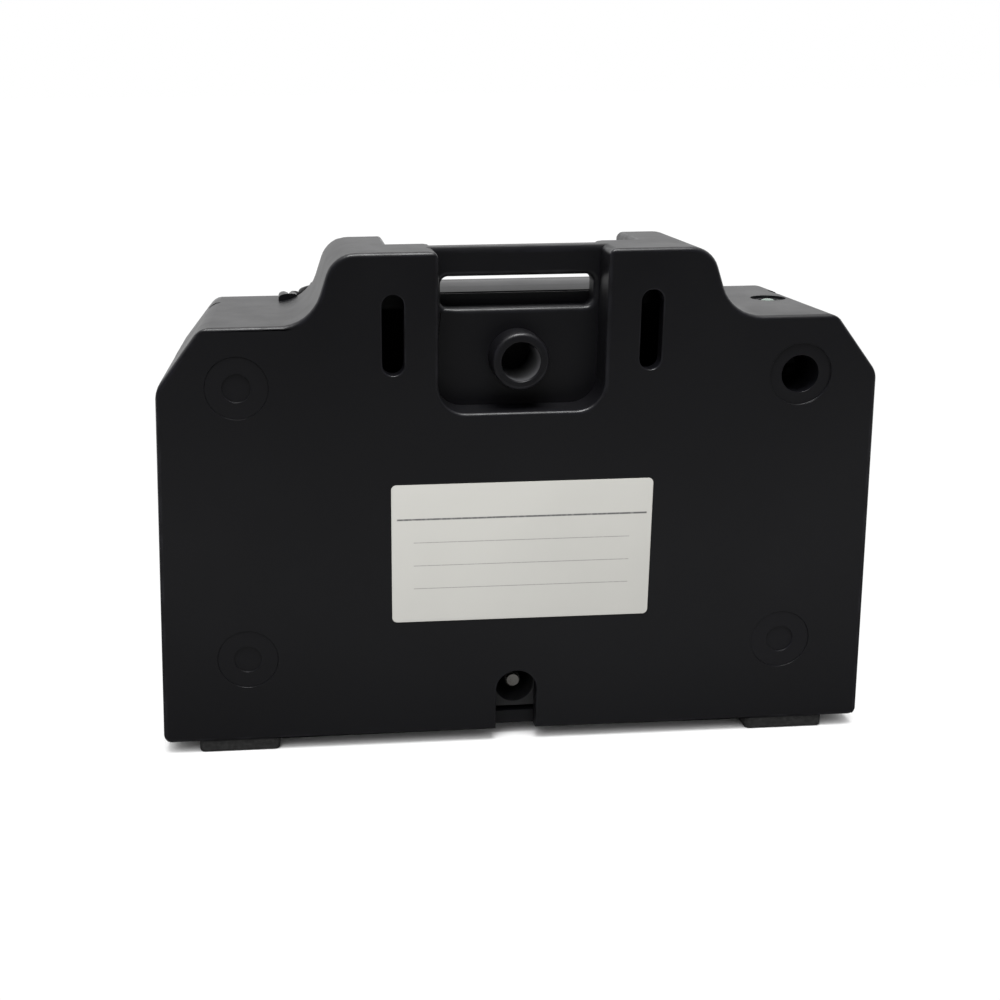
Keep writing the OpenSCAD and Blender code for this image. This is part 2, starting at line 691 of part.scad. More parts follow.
// Supply socket under the rear edge of the board, its mouth behind the arched notch
jack_y = plate_t + fit_gap;
jack_z = z0 + jack_h;
jack_floor = 9.5;
jack_left_x = jack_x - jack_w / 2;
leaf_t = 0.4;
leaf_h = 2.4;
leaf_y = jack_y + 3;
module supply_socket() color("#141416") centred() difference() {
    block(jack_left_x, jack_y, jack_z - jack_under, jack_x + jack_w / 2, jack_y + jack_len, board_z);
    rod_y(jack_x, jack_h, jack_bore, jack_y - over, jack_y + jack_floor);
    rod_y(jack_x, jack_h, pin_dia + 2 * thread_gap, jack_y, jack_y + jack_len + over);
    // Side slot for the spring leaf
    block(jack_left_x - over, leaf_y, jack_z - leaf_h / 2 - fit_gap,
        jack_x, jack_y + jack_floor, jack_z + leaf_h / 2 + fit_gap);
}

pin_set_back = 1.6;
pin_nose = 0.4;
module socket_pin() color(steel) centred() {
    rod_y(jack_x, jack_h, pin_dia, jack_y + pin_set_back, jack_y + jack_len + over);
    translate([jack_x, jack_y + pin_set_back, jack_z]) rotate([90, 0, 0])
        rotate_extrude() polygon([[0, -eps], [pin_dia / 2, -eps], [pin_dia * 0.4, pin_nose], [0, pin_nose]]);
}

// Leaf that runs down the socket's side and springs into its bore
leaf_x = jack_left_x - seat_gap;
leaf_touch_x = jack_x - jack_bore / 2 + 0.3;
module socket_spring_leaf() color(steel) centred()
    translate([0, 0, jack_z - leaf_h / 2]) linear_extrude(leaf_h) polygon([
        [leaf_x - leaf_t, leaf_y - fit_gap], [leaf_x, leaf_y - fit_gap], [leaf_x, leaf_y + 0.6],
        [leaf_touch_x, leaf_y + 2], [leaf_touch_x, leaf_y + 4], [leaf_touch_x - leaf_t, leaf_y + 4],
        [leaf_touch_x - leaf_t, leaf_y + 2.2], [leaf_x - leaf_t, leaf_y + 1]]);

terminal_w = 2.4;
terminal_drop = 1.5;
module socket_terminals() color(steel) centred() {
    pin_end_y = jack_y + jack_len + over + seat_gap;
    leaf_end_x = leaf_x - leaf_t - seat_gap;
    block(jack_x - terminal_w / 2, pin_end_y, jack_z - terminal_drop,
        jack_x + terminal_w / 2, pin_end_y + leaf_t, board_z);
    block(leaf_end_x - leaf_t, leaf_y + 1.2, jack_z - leaf_h / 2,
        leaf_end_x, leaf_y + 1.2 + terminal_w, board_z);
}

// Parts on the board: what is tall hangs below it
can_rim = 0.8;
can_dish = 0.2;
module can(x, y, dia, tall) color("#26323f") centred() difference() {
    rod_z(x, y, dia, board_z - tall, board_z);
    rod_z(x, y, dia - 2 * can_rim, board_z - tall - over, board_z - tall + can_dish);
}
input_can_dia = 8;
input_can_tall = 9;
output_can_dia = 6.3;
output_can_tall = 8;
module input_capacitor() can(-board_w / 4 - 3, board_y + 10, input_can_dia, input_can_tall);
module output_capacitor() can(board_w / 4 + 1, board_y + 18, output_can_dia, output_can_tall);

coil_x = -board_w / 4;
coil_y = board_y + 40;
coil_dia = 9;
coil_tall = 7.5;
coil_flange = 1.4;
coil_neck_dia = 4.5;
module coil_core() color("#2b2b2b") centred() {
    rod_z(coil_x, coil_y, coil_dia, board_z - coil_flange, board_z);
    rod_z(coil_x, coil_y, coil_neck_dia, board_z - coil_tall, board_z);
    rod_z(coil_x, coil_y, coil_dia, board_z - coil_tall, board_z - coil_tall + coil_flange);
}
module coil_winding() color(copper) centred() difference() {
    wound_low = board_z - coil_tall + coil_flange + thread_gap;
    rod_z(coil_x, coil_y, coil_dia - 0.8, wound_low, board_z - coil_flange - thread_gap);
    rod_z(coil_x, coil_y, coil_neck_dia + 2 * thread_gap, board_z - coil_tall, board_z);
}

// Body, tab and two legs of the transistor, width, depth and height of each
transistor = [6.6, 6.1, 2.3];
tab = [4.6, 1.4, 1];
leg = [0.8, 2.4, 0.5];
module power_transistor() color("#202020") centred()
    translate([board_w / 8, coil_y - transistor.y / 2, board_z - transistor.z]) {
        cube(transistor);
        translate([(transistor.x - tab.x) / 2, transistor.y - eps, transistor.z - tab.z]) cube(tab);
        for (x = [0.9, transistor.x - 0.9 - leg.x])
            translate([x, -leg.y, transistor.z - leg.z]) cube(leg + [0, eps, 0]);
    }

diode = [4.4, 2.6, 2.2];
diode_lead = [6.2, 1.4, 0.5];
module rectifier_diode() color("#202020") centred()
    translate([-board_w / 8 - 2, board_y + 27, board_z - diode.z]) {
        cube(diode);
        translate([(diode.x - diode_lead.x) / 2, (diode.y - diode_lead.y) / 2, diode.z - diode_lead.z])
            cube(diode_lead);
    }

fuse_dia = 7.4;
fuse_t = 2.6;
fuse_lead = 0.6;
module resettable_fuse() color("#c9852b") centred() {
    fuse_x = board_w / 4 - 2;
    fuse_y = board_y + 4;
    rod_y(fuse_x, board_z - z0 - 0.3 - fuse_dia / 2, fuse_dia, fuse_y, fuse_y + fuse_t);
    for (side = [-1, 1]) translate([fuse_x + side * 2.4, fuse_y + fuse_t / 2, board_z - 1.6])
        translate([-fuse_lead / 2, -fuse_lead / 2, 0]) cube([fuse_lead, fuse_lead, 1.6]);
}

chip = [4.9, 3.9, 1.6];
chip_lead = [0.45, 5.9, 0.3];
module charge_controller() color("#1a1a1a") centred()
    translate([-board_w / 4 - 2.5, board_y + 16, board_top]) {
        cube(chip);
        for (k = [0 : 3]) translate([0.35 + k * 1.27, (chip.y - chip_lead.y) / 2, 0]) cube(chip_lead);
    }

resistor = [1.25, 2, 0.55];
module chip_resistors() color("#30302e") centred() for (col = [0 : 2], row = [0 : 1])
    translate([board_w / 8 + 2.6 * col, board_y + 20 + 4 * row, board_top]) cube(resistor);

// Sprung contacts in a carrier that reaches up through the floor of the pocket
carrier_top = cup_floor_z + carrier_up;
lid_t = 1.6;
chamber_dia = contact_collar_dia + 0.3;
terminal_t = 1;
end_gap = 0.03;
collar_top = carrier_top - lid_t;
spring_low = board_top + terminal_t + end_gap;
spring_high = collar_top - collar_t - end_gap;
module contact_carrier() color(black_cup) centred() difference() {
    block(-carrier_w / 2, contact_y - carrier_d / 2, board_top,
        carrier_w / 2, contact_y + carrier_d / 2, carrier_top);
    for (side = [-1, 1]) {
        rod_z(side * contact_pitch / 2, contact_y, chamber_dia, board_top - over, collar_top + end_gap);
        rod_z(side * contact_pitch / 2, contact_y, tip_dia + 2 * run_gap, collar_top, carrier_top + over);
    }
}
module contact_terminals() color(brass) centred() for (side = [-1, 1])
    rod_z(side * contact_pitch / 2, contact_y, chamber_dia - 2 * seat_gap, board_top, board_top + terminal_t);
module contact(side) color(brass) centred() translate([side * contact_pitch / 2, contact_y, 0])
    rotate_extrude() {
        translate([0, collar_top - collar_t]) square([contact_collar_dia / 2, collar_t]);
        polygon(concat(
            [[0, collar_top - collar_t], [tip_dia / 2, collar_top - collar_t]],
            arc([0, carrier_top + tip_up - tip_dia / 2], tip_dia / 2, 0, 90)));
    }
module contact_left() contact(-1);
module contact_right() contact(1);

// Helical spring: one unbroken tube between the terminal and the contact's collar
ring_steps = 8;
wire_sides = 6;
spring_r = (contact_collar_dia - spring_wire) / 2 - seat_gap;
function spring_point(t) =
    let (low = spring_low + spring_wire / 2, high = spring_high - spring_wire / 2)
    [spring_r * cos(360 * t), spring_r * sin(360 * t), low + (high - low) * t / spring_turns];
spring_path = [for (k = [0 : ring_steps * spring_turns]) spring_point(k / ring_steps)];

// Tube swept along a path, with the ring's frame carried by the path's own direction
function path_way(path, i) = unit(path[min(i + 1, len(path) - 1)] - path[max(i - 1, 0)]);
function ring(path, i, r, sides, up) =
    let (way = path_way(path, i), across = unit(cross(way, up)), rise = cross(across, way))
    [for (k = [0 : sides - 1]) path[i] + r * (cos(360 * k / sides) * across + sin(360 * k / sides) * rise)];
module tube(path, dia, sides, up) {
    n = len(path);
    polyhedron(
        points = [for (i = [0 : n - 1]) each ring(path, i, dia / 2, sides, up)],
        faces = concat(
            [[for (k = [0 : sides - 1]) k]],
            [for (i = [0 : n - 2], k = [0 : sides - 1]) each [
                [i * sides + k, (i + 1) * sides + k, (i + 1) * sides + (k + 1) % sides],
                [i * sides + k, (i + 1) * sides + (k + 1) % sides, i * sides + (k + 1) % sides]]],
            [[for (k = [sides - 1 : -1 : 0]) (n - 1) * sides + k]]));
}
module contact_spring(side) color(steel) centred() translate([side * contact_pitch / 2, contact_y, 0])
    tube(spring_path, spring_wire, wire_sides, [0, 0, 1]);
module contact_spring_left() contact_spring(-1);
module contact_spring_right() contact_spring(1);
spring_gap = (spring_high - spring_low - spring_wire) / spring_turns - spring_wire;
echo(least_gap_between_spring_turns = spring_gap);

// Status light on top of the right wing
lens_low = 0.1;
lens_dome = 0.9;
lens_flange_dia = lens_dia + 1.8;
chip_w = 3.2;
chip_d = 1.6;
module light_lens() color("#e9f2ec", 0.9) centred() {
    dome_z = roof_z - lens_low - lens_dome;
    rod_z(light_x, light_d, lens_flange_dia, roof_under_z - lens_flange_t, roof_under_z);
    translate([light_x, light_d, 0]) rotate_extrude() polygon(concat(
        [[0, roof_under_z - eps], [lens_dia / 2, roof_under_z - eps]],
        [for (p = arc([0, 0], 1, 0, 90)) [p.x * lens_dia / 2, dome_z + p.y * lens_dome]]));
}
module light_chip() color("#f0e8c0") centred()
    block(light_x - chip_w / 2, light_d - chip_d / 2, light_board_top,
        light_x + chip_w / 2, light_d + chip_d / 2, roof_under_z - lens_flange_t);
module light_board() color(board_green) centred() difference() {
    block(light_x - light_board_in, light_d - light_board_w / 2, light_board_low,
        light_board_end, light_d + light_board_w / 2, light_board_top);
    for (side = [-1, 1])
        rod_z(light_x, light_d + side * light_peg_gap, light_peg_dia + 2 * thread_gap,
            light_board_low - over, light_board_top + over);
}

// Two wires from the light's board down to a plug on the main board
wire_dia = 1.2;
header_x = board_w / 2 - 6.5;
header_y = board_y + 14;
header_w = 4.8;
header_d = 6.4;
header_tall = 5;
header_wall = 0.8;
header_floor = 1;
plug_up = 3;
plug_z = board_top + header_tall;
light_wire_x = light_x - light_board_in + 1;
function wire_path(k) = [
    [light_wire_x, light_d + 1.5 * k, light_board_low],
    [light_wire_x, light_d + 1.5 * k, light_board_low - 3],
    [light_wire_x - 0.5, light_d + 1.4 * k - 0.4, light_board_low - 12],
    [light_wire_x - 2.5, light_d + 1.3 * k - 0.8, (light_board_low + plug_z) / 2 + 8],
    [light_wire_x - 5.5, light_d + 1.3 * k - 1, (light_board_low + plug_z) / 2],
    [header_x + 3.5, header_y + 1.3 * k + 0.4, plug_z + 14],
    [header_x + 0.8, header_y + 1.25 * k + 0.1, plug_z + 8],
    [header_x, header_y + 1.25 * k, plug_z + 5],
    [header_x, header_y + 1.25 * k, plug_z + plug_up]];
module light_wires() for (k = [-1, 1]) color(k < 0 ? "#8a1c1c" : "#1a1a1a") centred()
    tube(wire_path(k), wire_dia, 8, [1, 0.2, 0]);
module header_block(shrink, low, high) block(
    header_x - header_w / 2 + shrink, header_y - header_d / 2 + shrink, low,
    header_x + header_w / 2 - shrink, header_y + header_d / 2 - shrink, high);
module wire_header() color("#e8e4d4") centred() difference() {
    header_block(0, board_top, plug_z);
    header_block(header_wall, board_top + header_floor, plug_z + over);
}
module wire_plug() color("#f2efe2") centred()
    header_block(header_wall + seat_gap, board_top + header_floor + seat_gap, plug_z + plug_up);

rear_cover();
front_cover();
pocket_cup();
blank_label();
rubber_feet();
case_screws();
screw_plugs();
cup_screws();
circuit_board();
board_screws();
supply_socket();
socket_pin();
socket_spring_leaf();
socket_terminals();
charge_controller();
power_transistor();
coil_core();
coil_winding();
input_capacitor();
output_capacitor();
rectifier_diode();
chip_resistors();
resettable_fuse();
contact_carrier();
contact_terminals();
contact_left();
contact_right();
contact_spring_left();
contact_spring_right();
light_lens();
light_chip();
light_board();
light_wires();
wire_header();
wire_plug();
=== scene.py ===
"""Desk charger for a two-way radio: rounded mouldings, springs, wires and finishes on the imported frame.

All lengths are metres. X runs across the charger, Y from the flat rear plate to the front, Z up.
"""

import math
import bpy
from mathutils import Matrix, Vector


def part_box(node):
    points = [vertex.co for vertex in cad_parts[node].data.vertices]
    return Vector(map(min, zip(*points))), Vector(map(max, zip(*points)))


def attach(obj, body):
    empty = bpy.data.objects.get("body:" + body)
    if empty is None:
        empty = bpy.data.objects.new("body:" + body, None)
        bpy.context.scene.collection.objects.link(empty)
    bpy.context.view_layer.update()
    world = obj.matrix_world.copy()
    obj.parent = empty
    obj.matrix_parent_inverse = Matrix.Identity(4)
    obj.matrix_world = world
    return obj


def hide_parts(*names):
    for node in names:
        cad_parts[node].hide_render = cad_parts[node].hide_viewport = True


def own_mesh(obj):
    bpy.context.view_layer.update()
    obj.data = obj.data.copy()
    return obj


bl_info = {
    "name": "Two-way radio charger",
    "version": (1, 0, 0),
    "blender": (4, 5, 0),
    "location": "3D View > Sidebar > Charger",
    "description": "Builds the visible pieces and finishes of a desk charger around its packed frame",
    "category": "Object",
}

import bmesh
import bpy
from bpy.props import FloatProperty, FloatVectorProperty, IntProperty, PointerProperty
from mathutils import Vector
from mathutils.bvhtree import BVHTree

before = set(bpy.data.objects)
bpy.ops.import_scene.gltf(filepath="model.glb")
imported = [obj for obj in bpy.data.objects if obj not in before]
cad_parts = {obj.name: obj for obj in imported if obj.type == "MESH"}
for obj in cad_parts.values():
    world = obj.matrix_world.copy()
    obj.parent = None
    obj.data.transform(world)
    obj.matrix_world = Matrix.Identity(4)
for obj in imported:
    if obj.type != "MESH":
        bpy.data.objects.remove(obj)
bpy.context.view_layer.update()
MM = 0.001

# Planes and places of the housing, from the frame
PLATE_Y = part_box("rear_cover")[0].y
JOINT_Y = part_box("rear_cover")[1].y
TOP_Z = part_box("rear_cover")[1].z
BOARD_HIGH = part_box("circuit_board")[1]

# Places of the rear cover's features: half widths across, depths from the plate, heights
WELL_X, WELL_HEIGHTS = 43.1 * MM, (16.1 * MM, 59.9 * MM)
RECESS_X, RECESS_LOW, RECESS_D, BAR_D = 12.7 * MM, 55.1 * MM, 6 * MM, 9.2 * MM
WINDOW_X, WINDOW_LOW, WINDOW_HIGH = 11.8 * MM, 70.2 * MM, 75 * MM
NOTCH_X, NOTCH_HIGH = 3.25 * MM, 12.25 * MM
SLOT_X, SLOT_LOW, SLOT_HIGH = (17.9 * MM, 21.2 * MM), 61.2 * MM, 73.3 * MM
LABEL_X, LABEL_LOW, LABEL_HIGH = 21.4 * MM, 21.3 * MM, 44.3 * MM
BOSS_Z, BOSS_R, BOSS_FACE_D, BORE_R = 62.6 * MM, 4.4 * MM, 1.2 * MM, 3 * MM
PLUG_R, PLUG_SEAT = 4.7 * MM, 0.085 * MM
CORNER, SHOULDER, DRAFT = (55.2 * MM, 59.9 * MM), (48.2 * MM, 69 * MM), 0.0361


def middle(node):
    """Centre of a CAD node's box."""
    low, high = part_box(node)
    return (low + high) / 2


# Sizes and colours that a user would change


def length(name, description, default):
    return FloatProperty(name=name, description=description, default=default, min=0, unit="LENGTH")


def colour(name, description, default):
    return FloatVectorProperty(
        name=name, description=description, default=default, subtype="COLOR", min=0, max=1
    )


class ChargerEdges(bpy.types.PropertyGroup):
    """Radii of the rounded edges"""

    plate: length("Plate", "Radius round the outline of the rear plate", 0.7 * MM)
    side: length("Side corner", "Radius along the corners of the wings", 1.3 * MM)
    recess: length("Recess", "Radius along the mouth of the recess", 0.6 * MM)
    window: length("Window", "Radius round the window behind the recess", 0.8 * MM)
    bar: length("Bar", "Radius along the top of the bar", 0.5 * MM)
    boss: length("Boss", "Radius round the front of the boss", 0.6 * MM)
    mouth: length("Recess corners", "Radius at the top corners of the recess", 1.3 * MM)
    ear: length("Ear", "Radius along the other top edges of the ears", 0.8 * MM)
    hole: length("Holes", "Radius round slots and the notch", 0.25 * MM)
    rim: length("Rims", "Radius round the screw wells and their rims", 0.05 * MM)
    front: length("Front", "Radius along the edges of the front cover", 0.9 * MM)
    cup: length("Cup", "Radius along the edges of the pocket cup", 0.35 * MM)


class ChargerFinish(bpy.types.PropertyGroup):
    """Colours and grain of the finishes"""

    case: colour("Case", "Colour of the moulded covers", (0.0034, 0.0033, 0.0046))
    case_pale: colour("Case, paler", "Colour of the covers' paler clouds", (0.0048, 0.0048, 0.0062))
    cup: colour("Cup", "Colour of the pocket cup", (0.0060, 0.0060, 0.0068))
    label: colour("Label", "Colour of the label's film", (0.42, 0.415, 0.39))
    rule: colour("Label rules", "Colour of the printed rules", (0.10, 0.10, 0.10))
    rubber: colour("Rubber", "Colour of the feet", (0.010, 0.010, 0.010))
    mask: colour("Board", "Colour of the solder mask", (0.012, 0.085, 0.030))
    lens: colour("Lens", "Colour of the status light's lens", (0.40, 0.52, 0.45))
    grain: length("Grain", "Size of the moulded grain", 0.28 * MM)


class ChargerParts(bpy.types.PropertyGroup):
    """Sizes of the small parts"""

    spring_turns: FloatProperty(
        name="Spring turns", description="Turns of a contact spring", default=5.5, min=3, max=8
    )
    spring_wire: length("Spring wire", "Diameter of a contact spring's wire", 0.4 * MM)
    coil_wire: length("Coil wire", "Diameter of the storage coil's wire", 0.36 * MM)
    lead: length("Light wires", "Diameter of the light's wires", 1.2 * MM)


class ChargerStudio(bpy.types.PropertyGroup):
    """Camera and light"""

    lens: FloatProperty(
        name="Lens", description="Focal length", default=0.04927, min=0.01, max=0.5, unit="CAMERA"
    )
    fill: FloatProperty(name="Fill", description="Strength of the soft room light", default=0.62)
    key: FloatProperty(name="Key", description="Power of the large soft lamp", default=4.0, unit="POWER")
    overhead: FloatProperty(
        name="Overhead", description="Power of the square lamp above, which edges mirror",
        default=4.0, unit="POWER",
    )
    reflected: FloatProperty(
        name="Reflected room", description="Brightness of the room behind the camera in reflections",
        default=0.02, subtype="FACTOR", min=0, max=1,
    )
    table: FloatProperty(
        name="Reflected table", description="Brightness of the table in front of the plate in reflections",
        default=0.30, subtype="FACTOR", min=0, max=1,
    )


# Working by hand: selecting, editing and finishing


def only(piece):
    """Make piece the one selected and active object."""
    if bpy.context.object and bpy.context.object.mode != "OBJECT":
        bpy.ops.object.mode_set(mode="OBJECT")
    bpy.ops.object.select_all(action="DESELECT")
    piece.select_set(True)
    bpy.context.view_layer.objects.active = piece
    return piece


def added(name):
    """Name the object that an operator has just added, and its mesh."""
    piece = bpy.context.object
    piece.name = piece.data.name = name
    return piece


def edit(piece, mode="FACE", selected="SELECT"):
    only(piece)
    bpy.ops.object.mode_set(mode="EDIT")
    bpy.ops.mesh.select_mode(type=mode)
    bpy.ops.mesh.select_all(action=selected)


def done():
    bpy.ops.object.mode_set(mode="OBJECT")


def apply_modifier(piece, kind, **settings):
    """Add a modifier with these settings and apply it."""
    only(piece)
    bpy.ops.object.modifier_add(type=kind)
    modifier = piece.modifiers[-1]
    for key, value in settings.items():
        setattr(modifier, key, value)
    bpy.ops.object.modifier_apply(modifier=modifier.name)


def settle(piece):
    """Put the piece's place in its mesh and leave its object at the origin."""
    only(piece)
    bpy.ops.object.transform_apply(location=True, rotation=True, scale=True)


def smooth(piece, degrees=35):
    only(piece)
    bpy.ops.object.shade_smooth_by_angle(angle=math.radians(degrees))


def outwards(piece):
    """Merge doubled points and turn all faces outwards."""
    edit(piece)
    bpy.ops.mesh.remove_doubles(threshold=1e-7)
    bpy.ops.mesh.normals_make_consistent(inside=False)
    done()


def copied(name, node):
    """A merged copy of a CAD node's mesh, with its flat areas made whole again."""
    piece = bpy.data.objects.new(name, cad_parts[node].data.copy())
    piece.data.name = name
    piece.data.materials.clear()
    bpy.context.scene.collection.objects.link(piece)
    edit(piece)
    bpy.ops.mesh.remove_doubles(threshold=1e-6)
    bpy.ops.mesh.customdata_custom_splitnormals_clear()
    bpy.ops.mesh.dissolve_limited(angle_limit=math.radians(0.5))
    done()
    return piece


def round_edges(piece, radius_at, segments=3, sharpest=30, within=None):
    """Bevel each sharp edge by the radius that radius_at(edge) gives for it, inside a CAD node."""
    mesh = bmesh.new()
    mesh.from_mesh(piece.data)
    mesh.normal_update()
    weights = mesh.edges.layers.float.get("bevel_weight_edge") or mesh.edges.layers.float.new(
        "bevel_weight_edge"
    )
    radii = {}
    for edge in mesh.edges:
        if len(edge.link_faces) == 2 and edge.calc_face_angle(0) > math.radians(sharpest):
            radii[edge] = radius_at(edge)
    widest = max(radii.values())
    for edge, radius in radii.items():
        edge[weights] = radius / widest
    mesh.to_mesh(piece.data)
    mesh.free()
    apply_modifier(
        piece, "BEVEL", limit_method="WEIGHT", width=widest, segments=segments,
        use_clamp_overlap=False, offset_type="OFFSET", loop_slide=True,
    )
    if within:
        apply_modifier(
            piece, "SHRINKWRAP", target=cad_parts[within], wrap_method="NEAREST_SURFACEPOINT",
            wrap_mode="INSIDE",
        )


def reshape(piece, moved):
    """Move each vertex to moved(its place)."""
    for vert in piece.data.vertices:
        vert.co = moved(vert.co)
    piece.data.update()


def refill(piece, on_face):
    """Fill the flat area of the faces for which on_face(face) holds anew, with even triangles."""
    edit(piece, "FACE", "DESELECT")
    mesh = bmesh.from_edit_mesh(piece.data)
    border = mesh.edges.layers.int.new("border")
    flat = {face for face in mesh.faces if on_face(face)}
    for face in flat:
        face.select_set(True)
    for edge in mesh.edges:
        edge[border] = sum(face in flat for face in edge.link_faces) == 1
    bmesh.update_edit_mesh(piece.data)
    bpy.ops.mesh.delete(type="FACE")
    bpy.ops.mesh.select_mode(type="EDGE")
    mesh = bmesh.from_edit_mesh(piece.data)
    border = mesh.edges.layers.int["border"]
    for edge in mesh.edges:
        edge.select_set(edge[border] == 1)
    mesh.edges.layers.int.remove(border)
    bmesh.update_edit_mesh(piece.data)
    bpy.ops.mesh.fill(use_beauty=True)
    done()


def mark_worn(piece, sharpest=14, widest=0.6 * MM):
    """Attribute worn: 1 on the narrow faces of rounded edges, 0 elsewhere, for the wear in the finish."""
    mesh = bmesh.new()
    mesh.from_mesh(piece.data)
    mesh.normal_update()
    worn = mesh.faces.layers.float.new("worn")
    for face in mesh.faces:
        turn = max((e.calc_face_angle(0) for e in face.edges if len(e.link_faces) == 2), default=0)
        width = face.calc_area() / max(e.calc_length() for e in face.edges)
        face[worn] = float(turn > math.radians(sharpest) and width < widest)
    mesh.to_mesh(piece.data)
    mesh.free()


def finish_moulding(piece, flat=None):
    """Mark the wear and smooth the shading. The area of faces for which flat(face) holds is filled anew."""
    mark_worn(piece)
    if flat:
        refill(piece, flat)
    smooth(piece)
    apply_modifier(piece, "WEIGHTED_NORMAL", keep_sharp=True)


def flatten_shading(piece, within=17):
    """Shade the plate as one flat face: normals within so many degrees of straight back point there."""
    mesh, back = piece.data, Vector((0, -1, 0))
    places = [mesh.vertices[loop.vertex_index].co.y for loop in mesh.loops]
    normals = [Vector(corner.vector) for corner in mesh.corner_normals]
    mesh.normals_split_custom_set([
        back if abs(y - PLATE_Y) < 1e-7 and normal.angle(back) < math.radians(within) else normal
        for y, normal in zip(places, normals)
    ])


def seat(piece, material, body="charger", replaces=()):
    """Give the piece its finish, slot and body, and let it stand for its CAD nodes."""
    piece.data.materials.clear()
    piece.data.materials.append(material)
    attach(piece, body)
    if replaces:
        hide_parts(*replaces)
    return piece


def dress(material, *nodes):
    """Give CAD nodes that keep their shape a finish."""
    for name in nodes:
        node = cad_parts[name]
        node.data.materials.clear()
        node.data.materials.append(material)


def drawn_line(name, points):
    """A line of edges through points, drawn by extruding one vertex."""
    points = [Vector(p) for p in points]
    bpy.ops.object.select_all(action="DESELECT")
    bpy.ops.mesh.primitive_plane_add(size=MM, location=points[0])
    piece = added(name)
    edit(piece, "VERT")
    bpy.ops.mesh.merge(type="CENTER")
    for before, after in zip(points, points[1:]):
        bpy.ops.mesh.extrude_region_move(TRANSFORM_OT_translate={"value": after - before})
    done()
    settle(piece)
    return piece


def turned(name, profile, place, steps=48):
    """Lathe a profile of (radius, height) about an upright axis through place."""
    points = [(place.x + r, place.y, place.z + h) for r, h in profile]
    piece = drawn_line(name, points)
    edit(piece, "VERT")
    bpy.ops.mesh.spin(steps=steps, angle=2 * math.pi, center=place, axis=(0, 0, 1))
    done()
    outwards(piece)
    smooth(piece)
    return piece


def arc(centre, radius, start, end, steps=8):
    """Points of a profile along an arc, in degrees."""
    angles = [math.radians(start + (end - start) * k / steps) for k in range(steps + 1)]
    return [(centre[0] + radius * math.cos(a), centre[1] + radius * math.sin(a)) for a in angles]


def wire(name, points, diameter, smoothness=12, sides=3):
    """A round wire along a smooth curve through points, as a closed mesh."""
    bpy.ops.object.select_all(action="DESELECT")
    line = bpy.data.curves.new(name, "CURVE")
    line.dimensions = "3D"
    spline = line.splines.new("NURBS")
    spline.points.add(len(points) - 1)
    for point, place in zip(spline.points, points):
        point.co = (*place, 1)
    spline.use_endpoint_u = True
    spline.order_u = 4
    spline.resolution_u = smoothness
    line.bevel_depth = diameter / 2
    line.bevel_resolution = sides
    line.use_fill_caps = True
    piece = bpy.data.objects.new(name, line)
    bpy.context.scene.collection.objects.link(piece)
    only(piece)
    bpy.ops.object.convert(target="MESH")
    piece = added(name)
    outwards(piece)
    smooth(piece, 50)
    return piece


def joined(name, pieces):
    only(pieces[0])
    for piece in pieces[1:]:
        piece.select_set(True)
    bpy.ops.object.join()
    return added(name)


# Finishes


class Finish:
    """A material of nodes. Sockets take numbers, colours, or another node's output."""

    def __init__(self, name, **sockets):
        self.material = bpy.data.materials.new(name)
        self.material.use_nodes = True
        self.tree = self.material.node_tree
        self.shader = self.tree.nodes["Principled BSDF"]
        self.place = self.tree.nodes.new("ShaderNodeTexCoord").outputs["Object"]
        self.set(self.shader, {key.replace("_", " "): value for key, value in sockets.items()})

    def set(self, node, sockets):
        for key, value in sockets.items():
            socket = node.inputs[key]
            if isinstance(value, bpy.types.NodeSocket):
                self.tree.links.new(value, socket)
            elif isinstance(socket.default_value, float) or not hasattr(value, "__len__"):
                socket.default_value = value
            else:
                socket.default_value = (*value, 1) if len(socket.default_value) == 4 else value

    def node(self, kind, sockets, **settings):
        node = self.tree.nodes.new("ShaderNode" + kind)
        for key, value in settings.items():
            setattr(node, key, value)
        self.set(node, sockets)
        return node

    def noise(self, size, detail=2.0, roughness=0.5, place=None):
        """Noise whose spots are about size across."""
        sockets = {
            "Vector": place or self.place, "Scale": 0.5 / size, "Detail": detail, "Roughness": roughness,
        }
        return self.node("TexNoise", sockets).outputs["Fac"]

    def math(self, kind, *values):
        node = self.tree.nodes.new("ShaderNodeMath")
        node.operation = kind
        self.set(node, dict(enumerate(values)))
        return node.outputs[0]

    def span(self, value, low, high, to_low=0.0, to_high=1.0):
        """Map low..high to to_low..to_high, clamped."""
        sockets = {"Value": value, 1: low, 2: high, 3: to_low, 4: to_high}
        return self.node("MapRange", sockets).outputs[0]

    def mix(self, share, a, b):
        node = self.tree.nodes.new("ShaderNodeMix")
        node.data_type = "RGBA"
        self.set(node, {0: share, 6: a, 7: b})
        return node.outputs[2]

    def bump(self, height, depth, over=None):
        """Normal of a relief of this depth, laid over another one."""
        sockets = {"Height": height, "Distance": depth, "Strength": 1.0}
        if over:
            sockets["Normal"] = over
        return self.node("Bump", sockets).outputs["Normal"]

    def attribute(self, name):
        return self.node("Attribute", {}, attribute_name=name).outputs["Fac"]

    def stretched(self, x, y, z):
        """Object coordinates scaled along each axis, for brushed and drawn marks."""
        return self.node("Mapping", {"Vector": self.place, "Scale": (x, y, z)}).outputs[0]

    def wear(self, **sockets):
        self.set(self.shader, {key.replace("_", " "): value for key, value in sockets.items()})
        return self.material


